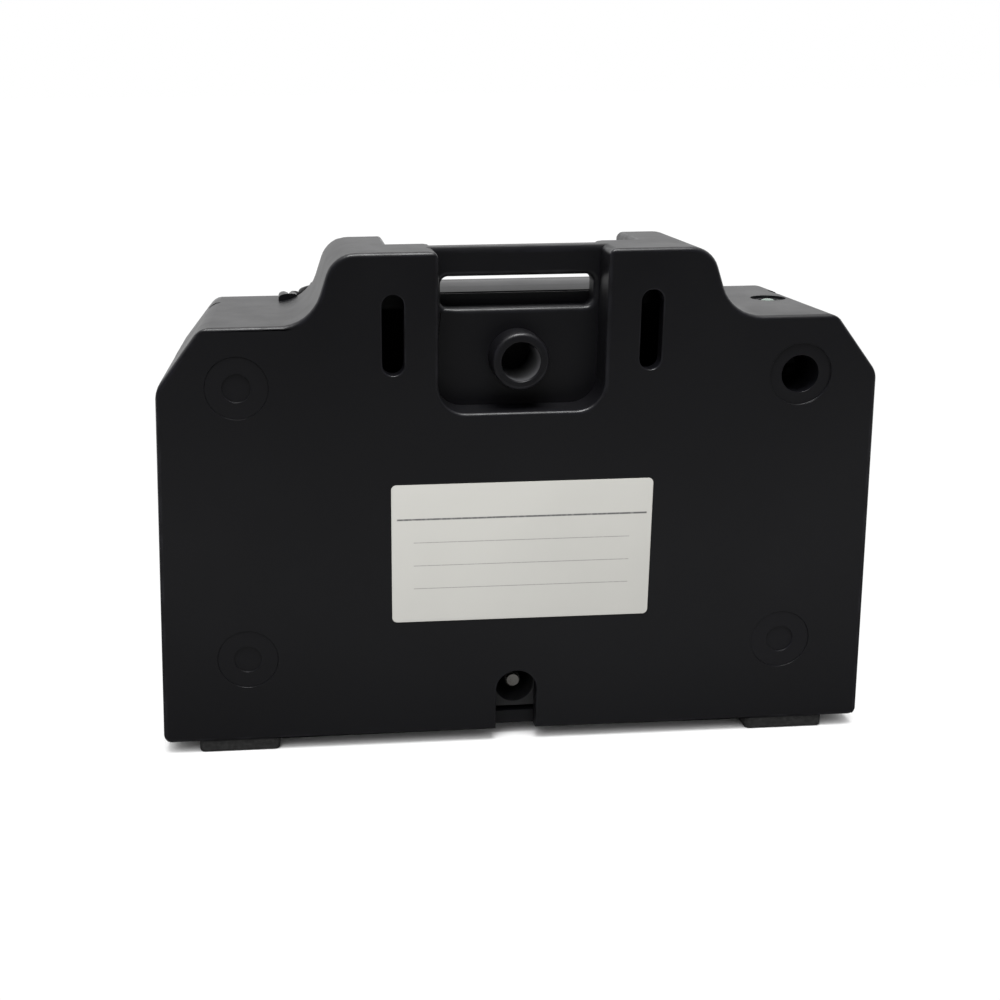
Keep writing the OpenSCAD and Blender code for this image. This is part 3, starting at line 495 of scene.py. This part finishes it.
def moulded(name, dark, pale, grain, rough=(0.38, 0.46), edge=0.35, depth=0.012, bore_painted_highlight=None):
    """Moulded plastic: spark-eroded grain, faint clouds of colour, polished and paler edges, and optionally
    a painted highlight: a pale colour painted on the wall of the boss's bore.
    """
    f = Finish(name, IOR=1.5)
    clouds = f.span(f.noise(30 * MM, 2), 0.3, 0.7)
    fine = f.noise(grain, 2, 0.55)
    worn = f.math("MULTIPLY", f.attribute("worn"), f.span(f.noise(1.6 * MM, 3), 0.42, 0.62))
    base = f.mix(clouds, dark, pale)
    base = f.mix(f.math("MULTIPLY", worn, edge), base, [2.6 * c for c in pale])
    # Painted highlight: the bore's wall, from just inside its mouth to about nine millimetres in, is painted
    # pale to stand in for the light that falls into it.
    if bore_painted_highlight:
        out = f.node("VectorMath", {0: f.stretched(1, 0, 1), 1: (0, 0, BOSS_Z)}, operation="DISTANCE")
        depth_in = f.node("SeparateXYZ", {"Vector": f.place}).outputs["Y"]
        bore_highlight_mask = f.span(out.outputs["Value"], BORE_R + 0.1 * MM, BORE_R + 0.2 * MM, 1, 0)
        start = PLATE_Y + BOSS_FACE_D
        bore_highlight_mask = f.math("MULTIPLY", bore_highlight_mask, f.span(depth_in, start + 0.2 * MM, start + 0.6 * MM))
        bore_highlight_mask = f.math("MULTIPLY", bore_highlight_mask, f.span(depth_in, start + 9 * MM, start + 10 * MM, 1, 0))
        base = f.mix(bore_highlight_mask, base, bore_painted_highlight)
    marks = f.span(f.noise(5 * MM, 4, 0.65), 0.3, 0.7, rough[0], rough[1])
    roughness = f.math("SUBTRACT", marks, f.math("MULTIPLY", worn, 0.08))
    swell = f.bump(f.noise(9 * MM, 1), 0.015 * MM)
    return f.wear(Base_Color=base, Roughness=roughness, Normal=f.bump(fine, depth * MM, swell))


def label_film(name, film, rule, low, high):
    """Matt film with a printed header rule and faint writing rules."""
    f = Finish(name, IOR=1.45)
    axes = f.node("SeparateXYZ", {"Vector": f.place}).outputs
    centre, half = (low + high) / 2, (high - low) / 2
    across = f.math("ABSOLUTE", f.math("SUBTRACT", axes["X"], centre.x))
    up = f.math("SUBTRACT", axes["Z"], centre.z)
    printed = 0.0
    # Each rule's height over the middle, half thickness and half length in mm, and its strength
    header, writing = (5.7, 0.11, 19.6, 1.0), [(height, 0.05, 17.0, 0.55) for height in (1.9, -1.9, -5.7)]
    for place, width, reach, strength in (header, *writing):
        gap = f.math("ABSOLUTE", f.math("SUBTRACT", up, place * MM))
        line = f.span(gap, width * MM, 1.6 * width * MM, strength, 0)
        row = f.math("MULTIPLY", line, f.span(across, reach * MM, (reach + 0.1) * MM, 1, 0))
        printed = f.math("MAXIMUM", printed, row)
    ink = f.math("MULTIPLY", printed, f.span(f.noise(0.25 * MM, 2), 0.3, 0.5, 0.72, 1))
    paper = f.mix(f.span(f.noise(6 * MM, 4), 0.35, 0.7), film, [0.965 * c for c in film])
    rough = f.span(f.noise(3 * MM, 3), 0.3, 0.7, 0.42, 0.52)
    skin = f.bump(f.noise(0.5 * MM, 3), 0.006 * MM)
    return f.wear(Base_Color=f.mix(ink, paper, rule), Roughness=rough, Normal=skin)


def drawn_metal(name, base, dull, stretch, rough=(0.22, 0.38), metallic=1.0):
    """Metal with fine marks drawn out along one axis, and dull spots."""
    f = Finish(name, Metallic=metallic)
    marks = f.noise(0.06 * MM, 3, 0.6, f.stretched(*stretch))
    spots = f.span(f.noise(1.2 * MM, 4, 0.6), 0.45, 0.7)
    return f.wear(
        Base_Color=f.mix(spots, base, dull),
        Roughness=f.span(f.math("ADD", marks, spots), 0.4, 1.4, rough[0], rough[1]),
        Normal=f.bump(marks, 0.004 * MM),
    )


def cast(name, base, pale, size, rough=(0.35, 0.5), depth=0.008, metallic=0.0, coat=0.0):
    """Plain cast or moulded stuff with specks of a paler colour and a fine skin."""
    f = Finish(name, Metallic=metallic, Coat_Weight=coat)
    specks = f.span(f.noise(size, 4, 0.65), 0.42, 0.68)
    return f.wear(
        Base_Color=f.mix(specks, base, pale),
        Roughness=f.span(f.noise(2.5 * size, 3), 0.3, 0.7, rough[0], rough[1]),
        Normal=f.bump(f.noise(size, 3), depth * MM),
    )


def solder_mask(name, mask):
    """Solder mask over copper tracks, with tinned vias."""
    f = Finish(name, IOR=1.5, Coat_Weight=0.3)
    lines = f.node(
        "TexBrick",
        {"Vector": f.place, "Color1": (0, 0, 0), "Color2": (0, 0, 0), "Mortar": (1, 1, 1), "Scale": 1.0,
         "Mortar Size": 0.22 * MM, "Mortar Smooth": 0.15, "Brick Width": 5.2 * MM, "Row Height": 1.9 * MM},
        offset=0.37, squash=0.6, squash_frequency=3,
    ).outputs["Fac"]
    cells = {"Vector": f.place, "Scale": 210.0, "Randomness": 0.85}
    holes = f.node("TexVoronoi", cells, voronoi_dimensions="2D")
    via = f.span(holes.outputs["Distance"], 0.10, 0.115, 1, 0)
    copper = [min(1, 1.9 * c + 0.004) for c in mask]
    base = f.mix(via, f.mix(lines, mask, copper), (0.55, 0.55, 0.52))
    relief = f.math("ADD", lines, via)
    rough = f.span(f.noise(1.4 * MM, 3), 0.3, 0.7, 0.26, 0.40)
    return f.wear(Base_Color=base, Roughness=rough, Metallic=via, Normal=f.bump(relief, 0.02 * MM))


def clear_lens(name, tint):
    """Clear moulded lens, slightly milky."""
    f = Finish(name, IOR=1.49, Transmission_Weight=0.55)
    milk = f.span(f.noise(0.5 * MM, 3), 0.35, 0.65)
    base = f.mix(milk, tint, [0.93 * c for c in tint])
    rough = f.span(f.noise(0.8 * MM, 3), 0.3, 0.7, 0.10, 0.2)
    return f.wear(Base_Color=base, Roughness=rough, Normal=f.bump(f.noise(0.4 * MM, 2), 0.003 * MM))


# Pieces


class CHARGER_OT_rear_cover(bpy.types.Operator):
    """Rear cover: the upright plate with its ears, recess, window, wells and slots"""

    bl_idname = "charger.rear_cover"
    bl_label = "Rear cover"

    def execute(self, context):
        edges, finish = context.scene.charger_edges, context.scene.charger_finish
        piece = copied("rear_cover_moulding", "rear_cover")
        near = 0.06 * MM

        def radius_at(edge):
            a, b = (v.co for v in edge.verts)
            x, y, z = (a + b) / 2
            side, depth = abs(x), y - PLATE_Y
            along = abs((b - a).normalized().y) > 0.9
            if any(math.hypot(side - WELL_X, z - height) < 5.2 * MM for height in WELL_HEIGHTS):
                return edges.rim if depth < 1 * MM else 0
            if max(a.y, b.y) - PLATE_Y < near:
                if side < RECESS_X + near and z > RECESS_LOW - near:
                    return edges.recess
                if side < NOTCH_X + near and z < NOTCH_HIGH + near:
                    return edges.hole
                if SLOT_X[0] - near < side < SLOT_X[1] + near and SLOT_LOW - near < z < SLOT_HIGH + near:
                    return edges.hole
                if side < LABEL_X and LABEL_LOW < z < LABEL_HIGH:
                    return 0.03 * MM
                return edges.plate
            out = math.hypot(x, z - BOSS_Z)
            if abs(depth - BOSS_FACE_D) < near and out < BOSS_R + near:
                return edges.boss if out > BOSS_R - 1 * MM else edges.hole
            beside_window = side < WINDOW_X + near and WINDOW_LOW - near < z < WINDOW_HIGH + near
            if beside_window and abs(depth - RECESS_D) < near:
                return edges.window
            if along:
                for place in (CORNER, SHOULDER):
                    if math.hypot(side + DRAFT * depth - place[0], z - place[1]) < 3 * near:
                        return edges.side
                if z > TOP_Z - near and edge.is_convex:
                    return edges.mouth if side < RECESS_X + near else edges.ear
                return 0
            if z > TOP_Z - 3 * near and edge.is_convex:
                return edges.bar if side < RECESS_X and depth < BAR_D + near else edges.ear
            return 0

        round_edges(piece, radius_at, within="rear_cover")
        reshape(piece, lambda p: Vector((p.x, PLATE_Y, p.z)) if p.y < PLATE_Y + 0.02 * MM else p)
        finish_moulding(piece, lambda face: all(abs(v.co.y - PLATE_Y) < 1e-7 for v in face.verts))
        flatten_shading(piece)
        # Pale colour painted into the boss's bore: a painted highlight that stands in for light falling into
        # it, not a colour of the plastic.
        bore_painted_highlight = (0.11, 0.11, 0.115)
        case = moulded("grained_case", finish.case, finish.case_pale, finish.grain, bore_painted_highlight=bore_painted_highlight)
        seat(piece, case, replaces=["rear_cover"])
        return {"FINISHED"}


class CHARGER_OT_front_cover(bpy.types.Operator):
    """Front cover: sloping wings, collar and leaning front face"""

    bl_idname = "charger.front_cover"
    bl_label = "Front cover"

    def execute(self, context):
        edges = context.scene.charger_edges
        piece = copied("front_cover_moulding", "front_cover")
        tree = BVHTree.FromObject(piece, bpy.context.evaluated_depsgraph_get())

        corner_y = 0.8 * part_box("front_cover")[1].y

        def radius_at(edge):
            a, b = (v.co for v in edge.verts)
            m = (a + b) / 2
            at_joint = max(a.y, b.y) < JOINT_Y + 0.5 * MM
            # The upright front corners are round in the solid
            at_corner = m.y > corner_y and abs((b - a).normalized().z) > 0.9
            if at_joint or at_corner or not edge.is_convex:
                return 0
            normals = [face.normal for face in edge.link_faces]
            out = (normals[0] + normals[1]).normalized()
            if tree.ray_cast(m + out * 0.05 * MM, out)[0] is not None:
                return 0
            return edges.front

        round_edges(piece, radius_at, within="front_cover")
        rise, reach, drop = SHOULDER[1], 10 * MM, 0.6

        def ramped(place):
            """Lower the rear end of the collar, which rises to its full height in front."""
            share = min(1, max(0, (place.y - JOINT_Y) / reach))
            return place + Vector((0, 0, -drop * (1 - share) * max(0, place.z - rise)))

        reshape(piece, ramped)
        finish_moulding(piece)
        seat(piece, bpy.data.materials["grained_case"], replaces=["front_cover"])
        return {"FINISHED"}


class CHARGER_OT_pocket_cup(bpy.types.Operator):
    """Pocket cup with its guide ribs"""

    bl_idname = "charger.pocket_cup"
    bl_label = "Pocket cup"

    def execute(self, context):
        finish, edges = context.scene.charger_finish, context.scene.charger_edges
        piece = copied("pocket_cup_moulding", "pocket_cup")
        round_edges(piece, lambda edge: edges.cup if edge.is_convex else 0)
        finish_moulding(piece)
        pale = [1.35 * c for c in finish.cup]
        cup = moulded("satin_cup", finish.cup, pale, 0.5 * MM, (0.36, 0.46), 0.3, 0.006)
        seat(piece, cup, replaces=["pocket_cup"])
        return {"FINISHED"}


class CHARGER_OT_label(bpy.types.Operator):
    """Blank label: film with rounded corners and writing rules"""

    bl_idname = "charger.label"
    bl_label = "Label"

    def execute(self, context):
        finish = context.scene.charger_finish
        low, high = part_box("blank_label")
        piece = copied("label_film", "blank_label")
        round_edges(piece, lambda edge: 0.05 * MM, 2, 60)
        smooth(piece)
        film = label_film("printed_film", finish.label, finish.rule, low, high)
        seat(piece, film, replaces=["blank_label"])
        return {"FINISHED"}


def widened(place):
    """Push the rim of a plug's head outwards until it nearly fills its seat."""
    rim, head_d = 0.4 * MM, 0.6 * MM
    height = min(WELL_HEIGHTS, key=lambda h: abs(h - place.z))
    centre = Vector((math.copysign(WELL_X, place.x), place.y, height))
    out = place - centre
    if out.length < PLUG_R - rim or place.y > PLATE_Y + head_d:
        return place
    return centre + out * (1 + PLUG_SEAT / out.length)


class CHARGER_OT_plugs_and_feet(bpy.types.Operator):
    """Plugs in three of the wells, and the rubber feet"""

    bl_idname = "charger.plugs_and_feet"
    bl_label = "Plugs and feet"

    def execute(self, context):
        finish = context.scene.charger_finish
        plugs = copied("well_plugs", "screw_plugs")
        round_edges(plugs, lambda edge: 0.05 * MM, 3)
        reshape(plugs, widened)
        finish_moulding(plugs)
        pale = [1.5 * c for c in finish.case]
        skin = moulded("plug_plastic", finish.case, pale, 0.2 * MM, (0.42, 0.52), 0.3, 0.008)
        seat(plugs, skin, replaces=["screw_plugs"])
        feet = copied("foot_pads", "rubber_feet")
        round_edges(feet, lambda edge: 0.4 * MM if abs(edge.verts[0].co.z - edge.verts[1].co.z) < 1e-6
                    and edge.verts[0].co.z < 0.1 * MM else 0, 3, 60)
        finish_moulding(feet)
        pale = [2.2 * c for c in finish.rubber]
        rubber = cast("foot_rubber", finish.rubber, pale, 0.35 * MM, (0.72, 0.9), 0.02)
        seat(feet, rubber, replaces=["rubber_feet"])
        return {"FINISHED"}


class CHARGER_OT_screws(bpy.types.Operator):
    """Finishes of the case, cup and board screws"""

    bl_idname = "charger.screws"
    bl_label = "Screws"

    def execute(self, context):
        black = drawn_metal(
            "blackened_steel", (0.055, 0.055, 0.060), (0.03, 0.03, 0.032), (1, 0.08, 1), (0.34, 0.5)
        )
        zinc = drawn_metal("zinc_steel", (0.58, 0.58, 0.60), (0.42, 0.42, 0.41), (1, 1, 0.08))
        dress(black, "case_screws")
        dress(zinc, "cup_screws", "board_screws")
        return {"FINISHED"}


class CHARGER_OT_contacts(bpy.types.Operator):
    """Sprung contacts, their springs, terminals and carrier"""

    bl_idname = "charger.contacts"
    bl_label = "Contacts"

    def execute(self, context):
        parts = context.scene.charger_parts
        gold = drawn_metal("gold_plate", (0.90, 0.62, 0.24), (0.74, 0.48, 0.17), (1, 1, 0.1), (0.16, 0.3))
        spring_steel = drawn_metal(
            "spring_steel", (0.52, 0.52, 0.54), (0.38, 0.38, 0.38), (1, 1, 1), (0.2, 0.32)
        )
        carrier = copied("carrier_moulding", "contact_carrier")
        round_edges(carrier, lambda edge: 0.15 * MM, 2, 50)
        finish_moulding(carrier)
        seat(carrier, bpy.data.materials["satin_cup"], replaces=["contact_carrier"])
        dress(gold, "contact_terminals")
        for side in ("left", "right"):
            body = "contact_" + side
            low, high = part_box(body)
            place = Vector(((low.x + high.x) / 2, (low.y + high.y) / 2, 0))
            collar, tip = (high.x - low.x) / 2, 1.5 * MM
            soft = 0.15 * MM
            profile = (
                [(0, low.z), (collar - soft, low.z)]
                + arc((collar - soft, low.z + soft), soft, -90, 0, 3)
                + arc((collar - soft, low.z + 1.2 * MM - soft), soft, 0, 90, 3)
                + [(tip, low.z + 1.2 * MM)]
                + arc((0, high.z - tip), tip, 0, 90, 12)
            )
            piece = turned("tip_" + side, profile, place)
            seat(piece, gold, body, [body])
            self.spring(side, parts, spring_steel)
        return {"FINISHED"}

    def spring(self, side, parts, steel):
        """Compression spring with closed ends, made at the height of its CAD node."""
        node = "contact_spring_" + side
        low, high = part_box(node)
        x, y = (low.x + high.x) / 2, (low.y + high.y) / 2
        half = parts.spring_wire / 2
        radius = (high.x - low.x) / 2 - half
        turns, closed = parts.spring_turns, 0.75
        rise = high.z - low.z - 2 * half
        slow = 1.02 * parts.spring_wire
        pitch = (rise - 2 * closed * slow) / (turns - 2 * closed)
        points = []
        for k in range(int(turns * 16) + 1):
            t = k / 16
            if t < closed:
                z = slow * t
            elif t < turns - closed:
                z = closed * slow + pitch * (t - closed)
            else:
                z = rise - slow * (turns - t)
            angle = 2 * math.pi * t
            points.append((x + radius * math.cos(angle), y + radius * math.sin(angle), low.z + half + z))
        piece = wire("spring_" + side, points, parts.spring_wire, 2, 2)
        seat(piece, steel, "charger", [node])
        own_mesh(piece)


class CHARGER_OT_board(bpy.types.Operator):
    """Circuit board and its solder joints"""

    bl_idname = "charger.board"
    bl_label = "Circuit board"

    def execute(self, context):
        finish = context.scene.charger_finish
        dress(solder_mask("solder_mask", finish.mask), "circuit_board", "light_board")
        tin = cast("solder", (0.62, 0.62, 0.60), (0.45, 0.45, 0.44), 0.3 * MM, (0.2, 0.35), 0.01, 1.0)
        top = BOARD_HIGH.z
        leads = [middle("resettable_fuse") + Vector((side * 2.4 * MM, 0, 0)) for side in (-1, 1)]
        leads += [middle(can) + Vector((side * 1.3 * MM, 0, 0))
                  for can in ("input_capacitor", "output_capacitor") for side in (-1, 1)]
        joints = []
        cone = ((0, 0), (0.95, 0), (0.7, 0.18), (0.42, 0.5), (0.3, 0.8), (0.16, 0.9), (0, 0.92))
        profile = [(radius * MM, height * MM) for radius, height in cone]
        for number, lead in enumerate(leads):
            place = Vector((lead.x, lead.y, top))
            joints.append(turned(f"joint_{number}", profile, place, 20))
        piece = joined("solder_joints", joints)
        smooth(piece, 50)
        seat(piece, tin)
        return {"FINISHED"}


class CHARGER_OT_board_parts(bpy.types.Operator):
    """Parts on the board: coil, capacitors, chips, diode, resistors and fuse"""

    bl_idname = "charger.board_parts"
    bl_label = "Board parts"

    def execute(self, context):
        parts = context.scene.charger_parts
        resin = cast("moulded_resin", (0.010, 0.010, 0.011), (0.017, 0.017, 0.018), 0.18 * MM, (0.4, 0.55))
        dress(resin, "charge_controller", "power_transistor", "rectifier_diode", "chip_resistors")
        ferrite = cast("ferrite", (0.022, 0.022, 0.024), (0.045, 0.044, 0.044), 0.3 * MM, (0.6, 0.8), 0.012)
        dress(ferrite, "coil_core")
        coating = cast(
            "fuse_coating", (0.62, 0.27, 0.035), (0.50, 0.19, 0.02), 0.8 * MM, (0.22, 0.36), 0.03, 0, 0.3
        )
        dress(coating, "resettable_fuse")
        self.coil(parts)
        self.cans()
        return {"FINISHED"}

    def coil(self, parts):
        """Layer of copper turns on the drum core."""
        low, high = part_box("coil_winding")
        place = Vector(((low.x + high.x) / 2, (low.y + high.y) / 2, 0))
        half = parts.coil_wire / 2
        radius = (high.x - low.x) / 2 - half
        neck = 2.32 * MM
        under = [(neck, low.z), (radius, low.z), (radius, high.z), (neck, high.z), (neck, low.z)]
        core = turned("coil_under", under, place)
        turns = int((high.z - low.z) / parts.coil_wire) - 1
        steps = 20
        rise = high.z - low.z - 2 * half
        points = []
        for k in range(turns * steps + 1):
            angle = 2 * math.pi * k / steps
            height = low.z + half + rise * k / (turns * steps)
            points.append((place.x + radius * math.cos(angle), place.y + radius * math.sin(angle), height))
        layer = wire("coil_layer", points, parts.coil_wire, 1, 1)
        piece = joined("coil_turns", [core, layer])
        copper = cast(
            "enamelled_copper", (0.60, 0.21, 0.06), (0.42, 0.13, 0.04), 0.5 * MM, (0.18, 0.3), 0.004,
            metallic=0.85, coat=0.5,
        )
        seat(piece, copper, replaces=["coil_winding"])

    def cans(self):
        """Capacitors: sleeve with a rolled shoulder and a dished end."""
        sleeve = cast(
            "can_sleeve", (0.018, 0.026, 0.045), (0.028, 0.038, 0.060), 0.9 * MM, (0.3, 0.42), 0.004
        )
        for node in ("input_capacitor", "output_capacitor"):
            low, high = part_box(node)
            place = Vector(((low.x + high.x) / 2, (low.y + high.y) / 2, 0))
            r, soft = (high.x - low.x) / 2, 0.5 * MM
            groove = high.z - 1.6 * MM
            profile = (
                [(0, low.z + 0.3 * MM), (r - 1.1 * MM, low.z + 0.3 * MM), (r - 0.9 * MM, low.z)]
                + arc((r - soft, low.z + soft), soft, -90, 0, 5)
                + [(r, groove - 0.5 * MM), (r - 0.35 * MM, groove), (r, groove + 0.5 * MM)]
                + arc((r - soft, high.z - soft), soft, 0, 90, 4)
                + [(0, high.z)]
            )
            piece = turned(node + "_can", profile, place)
            seat(piece, sleeve, replaces=[node])


class CHARGER_OT_supply_socket(bpy.types.Operator):
    """Supply socket, its pin, leaf and terminals"""

    bl_idname = "charger.supply_socket"
    bl_label = "Supply socket"

    def execute(self, context):
        body = copied("socket_moulding", "supply_socket")
        round_edges(body, lambda edge: 0.15 * MM if edge.is_convex else 0, 2, 50)
        finish_moulding(body)
        resin = moulded(
            "socket_resin", (0.009, 0.009, 0.010), (0.014, 0.014, 0.015), 0.3 * MM, (0.4, 0.5), 0.3, 0.006
        )
        seat(body, resin, replaces=["supply_socket"])
        nickel = drawn_metal(
            "nickel_plate", (0.66, 0.64, 0.60), (0.48, 0.46, 0.43), (1, 0.08, 1), (0.18, 0.32)
        )
        dress(nickel, "socket_pin", "socket_spring_leaf", "socket_terminals")
        return {"FINISHED"}


class CHARGER_OT_status_light(bpy.types.Operator):
    """Status light: lens, chip, wires, plug and header"""

    bl_idname = "charger.status_light"
    bl_label = "Status light"

    def execute(self, context):
        finish, parts = context.scene.charger_finish, context.scene.charger_parts
        low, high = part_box("light_lens")
        place = Vector(((low.x + high.x) / 2, (low.y + high.y) / 2, 0))
        flange, r = (high.x - low.x) / 2, 1.5 * MM
        dome = 0.9 * MM
        shelf = low.z + 0.6 * MM
        crown = [(r * c, high.z - dome + dome * s) for c, s in arc((0, 0), 1, 0, 90, 12)]
        profile = [(0, low.z), (flange, low.z), (flange, shelf), (r, shelf)] + crown
        lens = turned("status_lens", profile, place)
        seat(lens, clear_lens("clear_lens", finish.lens), replaces=["light_lens"])
        phosphor = cast(
            "light_phosphor", (0.85, 0.80, 0.42), (0.78, 0.70, 0.33), 0.2 * MM, (0.3, 0.5), 0.01
        )
        dress(phosphor, "light_chip")
        nylon = cast("nylon", (0.78, 0.75, 0.66), (0.72, 0.69, 0.60), 0.6 * MM, (0.38, 0.52), 0.006)
        dress(nylon, "wire_header", "wire_plug")
        self.wires(parts)
        return {"FINISHED"}

    def wires(self, parts):
        """Two insulated wires from the light's board down to the plug."""
        board_low, plug_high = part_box("light_board")[0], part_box("wire_plug")[1]
        header = middle("wire_header")
        top_x, top_y, top_z = board_low.x + 1 * MM, middle("light_board").y, board_low.z
        plug_z = plug_high.z - 3 * MM
        middle_z = (top_z + plug_z) / 2
        wires = ((-1, "wire_red", (0.42, 0.018, 0.015)), (1, "wire_black", (0.012, 0.012, 0.012)))
        for k, name, tint in wires:
            route = [
                (top_x, top_y + 1.5 * k * MM, top_z),
                (top_x, top_y + 1.5 * k * MM, top_z - 3 * MM),
                (top_x - 0.5 * MM, top_y + (1.4 * k - 0.4) * MM, top_z - 12 * MM),
                (top_x - 2.5 * MM, top_y + (1.3 * k - 0.8) * MM, middle_z + 8 * MM),
                (top_x - 5.5 * MM, top_y + (1.3 * k - 1) * MM, middle_z),
                (header.x + 3.5 * MM, header.y + (1.3 * k + 0.4) * MM, plug_z + 14 * MM),
                (header.x + 0.8 * MM, header.y + (1.25 * k + 0.1) * MM, plug_z + 8 * MM),
                (header.x, header.y + 1.25 * k * MM, plug_z + 5 * MM),
                (header.x, header.y + 1.25 * k * MM, plug_high.z),
            ]
            piece = wire(name, route, parts.lead)
            skin = cast(name + "_skin", tint, [1.25 * c for c in tint], 0.5 * MM, (0.34, 0.48), 0.004)
            seat(piece, skin)
        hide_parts("light_wires")
        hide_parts("light_wires")


class CHARGER_OT_studio(bpy.types.Operator):
    """Pale floor, soft room light and the camera"""

    bl_idname = "charger.studio"
    bl_label = "Studio"

    def execute(self, context):
        studio = context.scene.charger_studio
        self.camera(context, studio)
        self.room(context, studio)
        self.floor(studio)
        self.lamps(studio)
        context.scene.view_settings.view_transform = "Standard"
        return {"FINISHED"}

    def camera(self, context, studio):
        turn = [math.radians(angle) for angle in (72.699, 0.609, -4.211)]
        bpy.ops.object.camera_add(location=(-0.03501, -0.23745, 0.10287), rotation=turn)
        camera = added("charger_camera")
        camera.data.lens = studio.lens / MM
        camera.data.sensor_width = 36
        camera.data.shift_x, camera.data.shift_y = 0.1136, 0.0115
        camera.data.clip_start, camera.data.clip_end = 0.01, 50
        context.scene.camera = camera

    def room(self, context, studio):
        """White room. Reflections see it darker behind the camera, where a photographer stands."""
        world = bpy.data.worlds.new("white_room")
        context.scene.world = world
        world.use_nodes = True
        world.cycles.sampling_method = "NONE"
        tree = world.node_tree
        add, link = tree.nodes.new, tree.links.new
        light = tree.nodes["Background"]
        path = add("ShaderNodeLightPath")
        axes = add("ShaderNodeSeparateXYZ")
        link(add("ShaderNodeTexCoord").outputs["Generated"], axes.inputs[0])
        fall = add("ShaderNodeMapRange")
        fall.interpolation_type = "SMOOTHSTEP"
        link(axes.outputs["Y"], fall.inputs["Value"])
        spread = {"From Min": -0.55, "From Max": 0.35, "To Min": studio.reflected, "To Max": 1}
        for socket, value in spread.items():
            fall.inputs[socket].default_value = value
        glossy, diffuse = add("ShaderNodeMix"), add("ShaderNodeMix")
        link(path.outputs["Is Glossy Ray"], glossy.inputs[0])
        glossy.inputs[2].default_value = 1
        link(fall.outputs[0], glossy.inputs[3])
        link(path.outputs["Is Diffuse Ray"], diffuse.inputs[0])
        link(glossy.outputs[0], diffuse.inputs[2])
        diffuse.inputs[3].default_value = studio.fill
        link(diffuse.outputs[0], light.inputs["Strength"])
        light.inputs["Color"].default_value = (1, 1, 1, 1)

    def floor(self, studio):
        bpy.ops.object.select_all(action="DESELECT")
        bpy.ops.mesh.primitive_plane_add(size=30)
        floor = added("studio_floor")
        edit(floor)
        bpy.ops.mesh.subdivide(number_cuts=1)
        done()
        f = Finish("floor_paper", Roughness=1.0, Specular_IOR_Level=0.0)
        tree = f.tree
        paper = f.mix(f.noise(0.4, 2), (0.90, 0.90, 0.90), (0.93, 0.93, 0.93))
        f.wear(Base_Color=paper)
        path = tree.nodes.new("ShaderNodeLightPath")
        white = f.node("Emission", {"Color": (1, 1, 1), "Strength": 1.04}).outputs[0]
        open_air = f.node("AmbientOcclusion", {"Distance": 4 * MM}, samples=12).outputs["AO"]
        clear = f.math("MULTIPLY", path.outputs["Is Camera Ray"], f.span(open_air, 0.60, 0.82))
        lit = f.node("MixShader", {0: clear})
        tree.links.new(f.shader.outputs[0], lit.inputs[1])
        tree.links.new(white, lit.inputs[2])
        y = f.node("SeparateXYZ", {"Vector": f.place}).outputs["Y"]
        front = f.math("MULTIPLY", f.span(y, -0.42, -0.16), f.span(y, -0.12, -0.04, 1, 0.3))
        seen = f.math("MAXIMUM", f.math("MULTIPLY", front, studio.table), f.span(y, 0.0, 0.1))
        mirror = f.node("Emission", {"Color": (1, 1, 1), "Strength": seen}).outputs[0]
        final = f.node("MixShader", {0: path.outputs["Is Glossy Ray"]})
        tree.links.new(lit.outputs[0], final.inputs[1])
        tree.links.new(mirror, final.inputs[2])
        tree.links.new(final.outputs[0], tree.nodes["Material Output"].inputs[0])
        floor.data.materials.append(f.material)

    def lamps(self, studio):
        """Large soft lamp up at the left, which reflections don't see, and a square one above."""
        spots = (
            ("key_lamp", (-0.35, -0.55, 0.75), "DISK", 0.7, studio.key),
            ("overhead_lamp", (0, -0.14, 0.65), "SQUARE", 0.3, studio.overhead),
        )
        for name, place, shape, size, power in spots:
            bpy.ops.object.light_add(type="AREA", location=place)
            lamp = added(name)
            lamp.rotation_mode = "QUATERNION"
            lamp.rotation_quaternion = (Vector((0, 0, 0.04)) - Vector(place)).to_track_quat("-Z", "Y")
            lamp.data.shape, lamp.data.size, lamp.data.energy = shape, size, power
            lamp.visible_glossy = name == "overhead_lamp"


STEPS = (
    CHARGER_OT_rear_cover,
    CHARGER_OT_front_cover,
    CHARGER_OT_pocket_cup,
    CHARGER_OT_label,
    CHARGER_OT_plugs_and_feet,
    CHARGER_OT_screws,
    CHARGER_OT_contacts,
    CHARGER_OT_board,
    CHARGER_OT_board_parts,
    CHARGER_OT_supply_socket,
    CHARGER_OT_status_light,
    CHARGER_OT_studio,
)


class CHARGER_PT_panel(bpy.types.Panel):
    """Sizes, colours and steps of the charger"""

    bl_idname = "CHARGER_PT_panel"
    bl_label = "Two-way radio charger"
    bl_space_type = "VIEW_3D"
    bl_region_type = "UI"
    bl_category = "Charger"

    def draw(self, context):
        for group in ("charger_edges", "charger_finish", "charger_parts", "charger_studio"):
            settings = getattr(context.scene, group)
            box = self.layout.box()
            for name in settings.__annotations__:
                box.prop(settings, name)
        for step in STEPS:
            self.layout.operator(step.bl_idname)


GROUPS = {
    "charger_edges": ChargerEdges,
    "charger_finish": ChargerFinish,
    "charger_parts": ChargerParts,
    "charger_studio": ChargerStudio,
}


def register():
    for name, group in GROUPS.items():
        bpy.utils.register_class(group)
        setattr(bpy.types.Scene, name, PointerProperty(type=group))
    for step in STEPS:
        bpy.utils.register_class(step)
    bpy.utils.register_class(CHARGER_PT_panel)


def unregister():
    bpy.utils.unregister_class(CHARGER_PT_panel)
    for step in reversed(STEPS):
        bpy.utils.unregister_class(step)
    for name, group in GROUPS.items():
        delattr(bpy.types.Scene, name)
        bpy.utils.unregister_class(group)


def main():
    """Build every piece in order."""
    register()
    for step in STEPS:
        area, name = step.bl_idname.split(".")
        getattr(getattr(bpy.ops, area), name)()


if __name__ == "__main__":
    main()
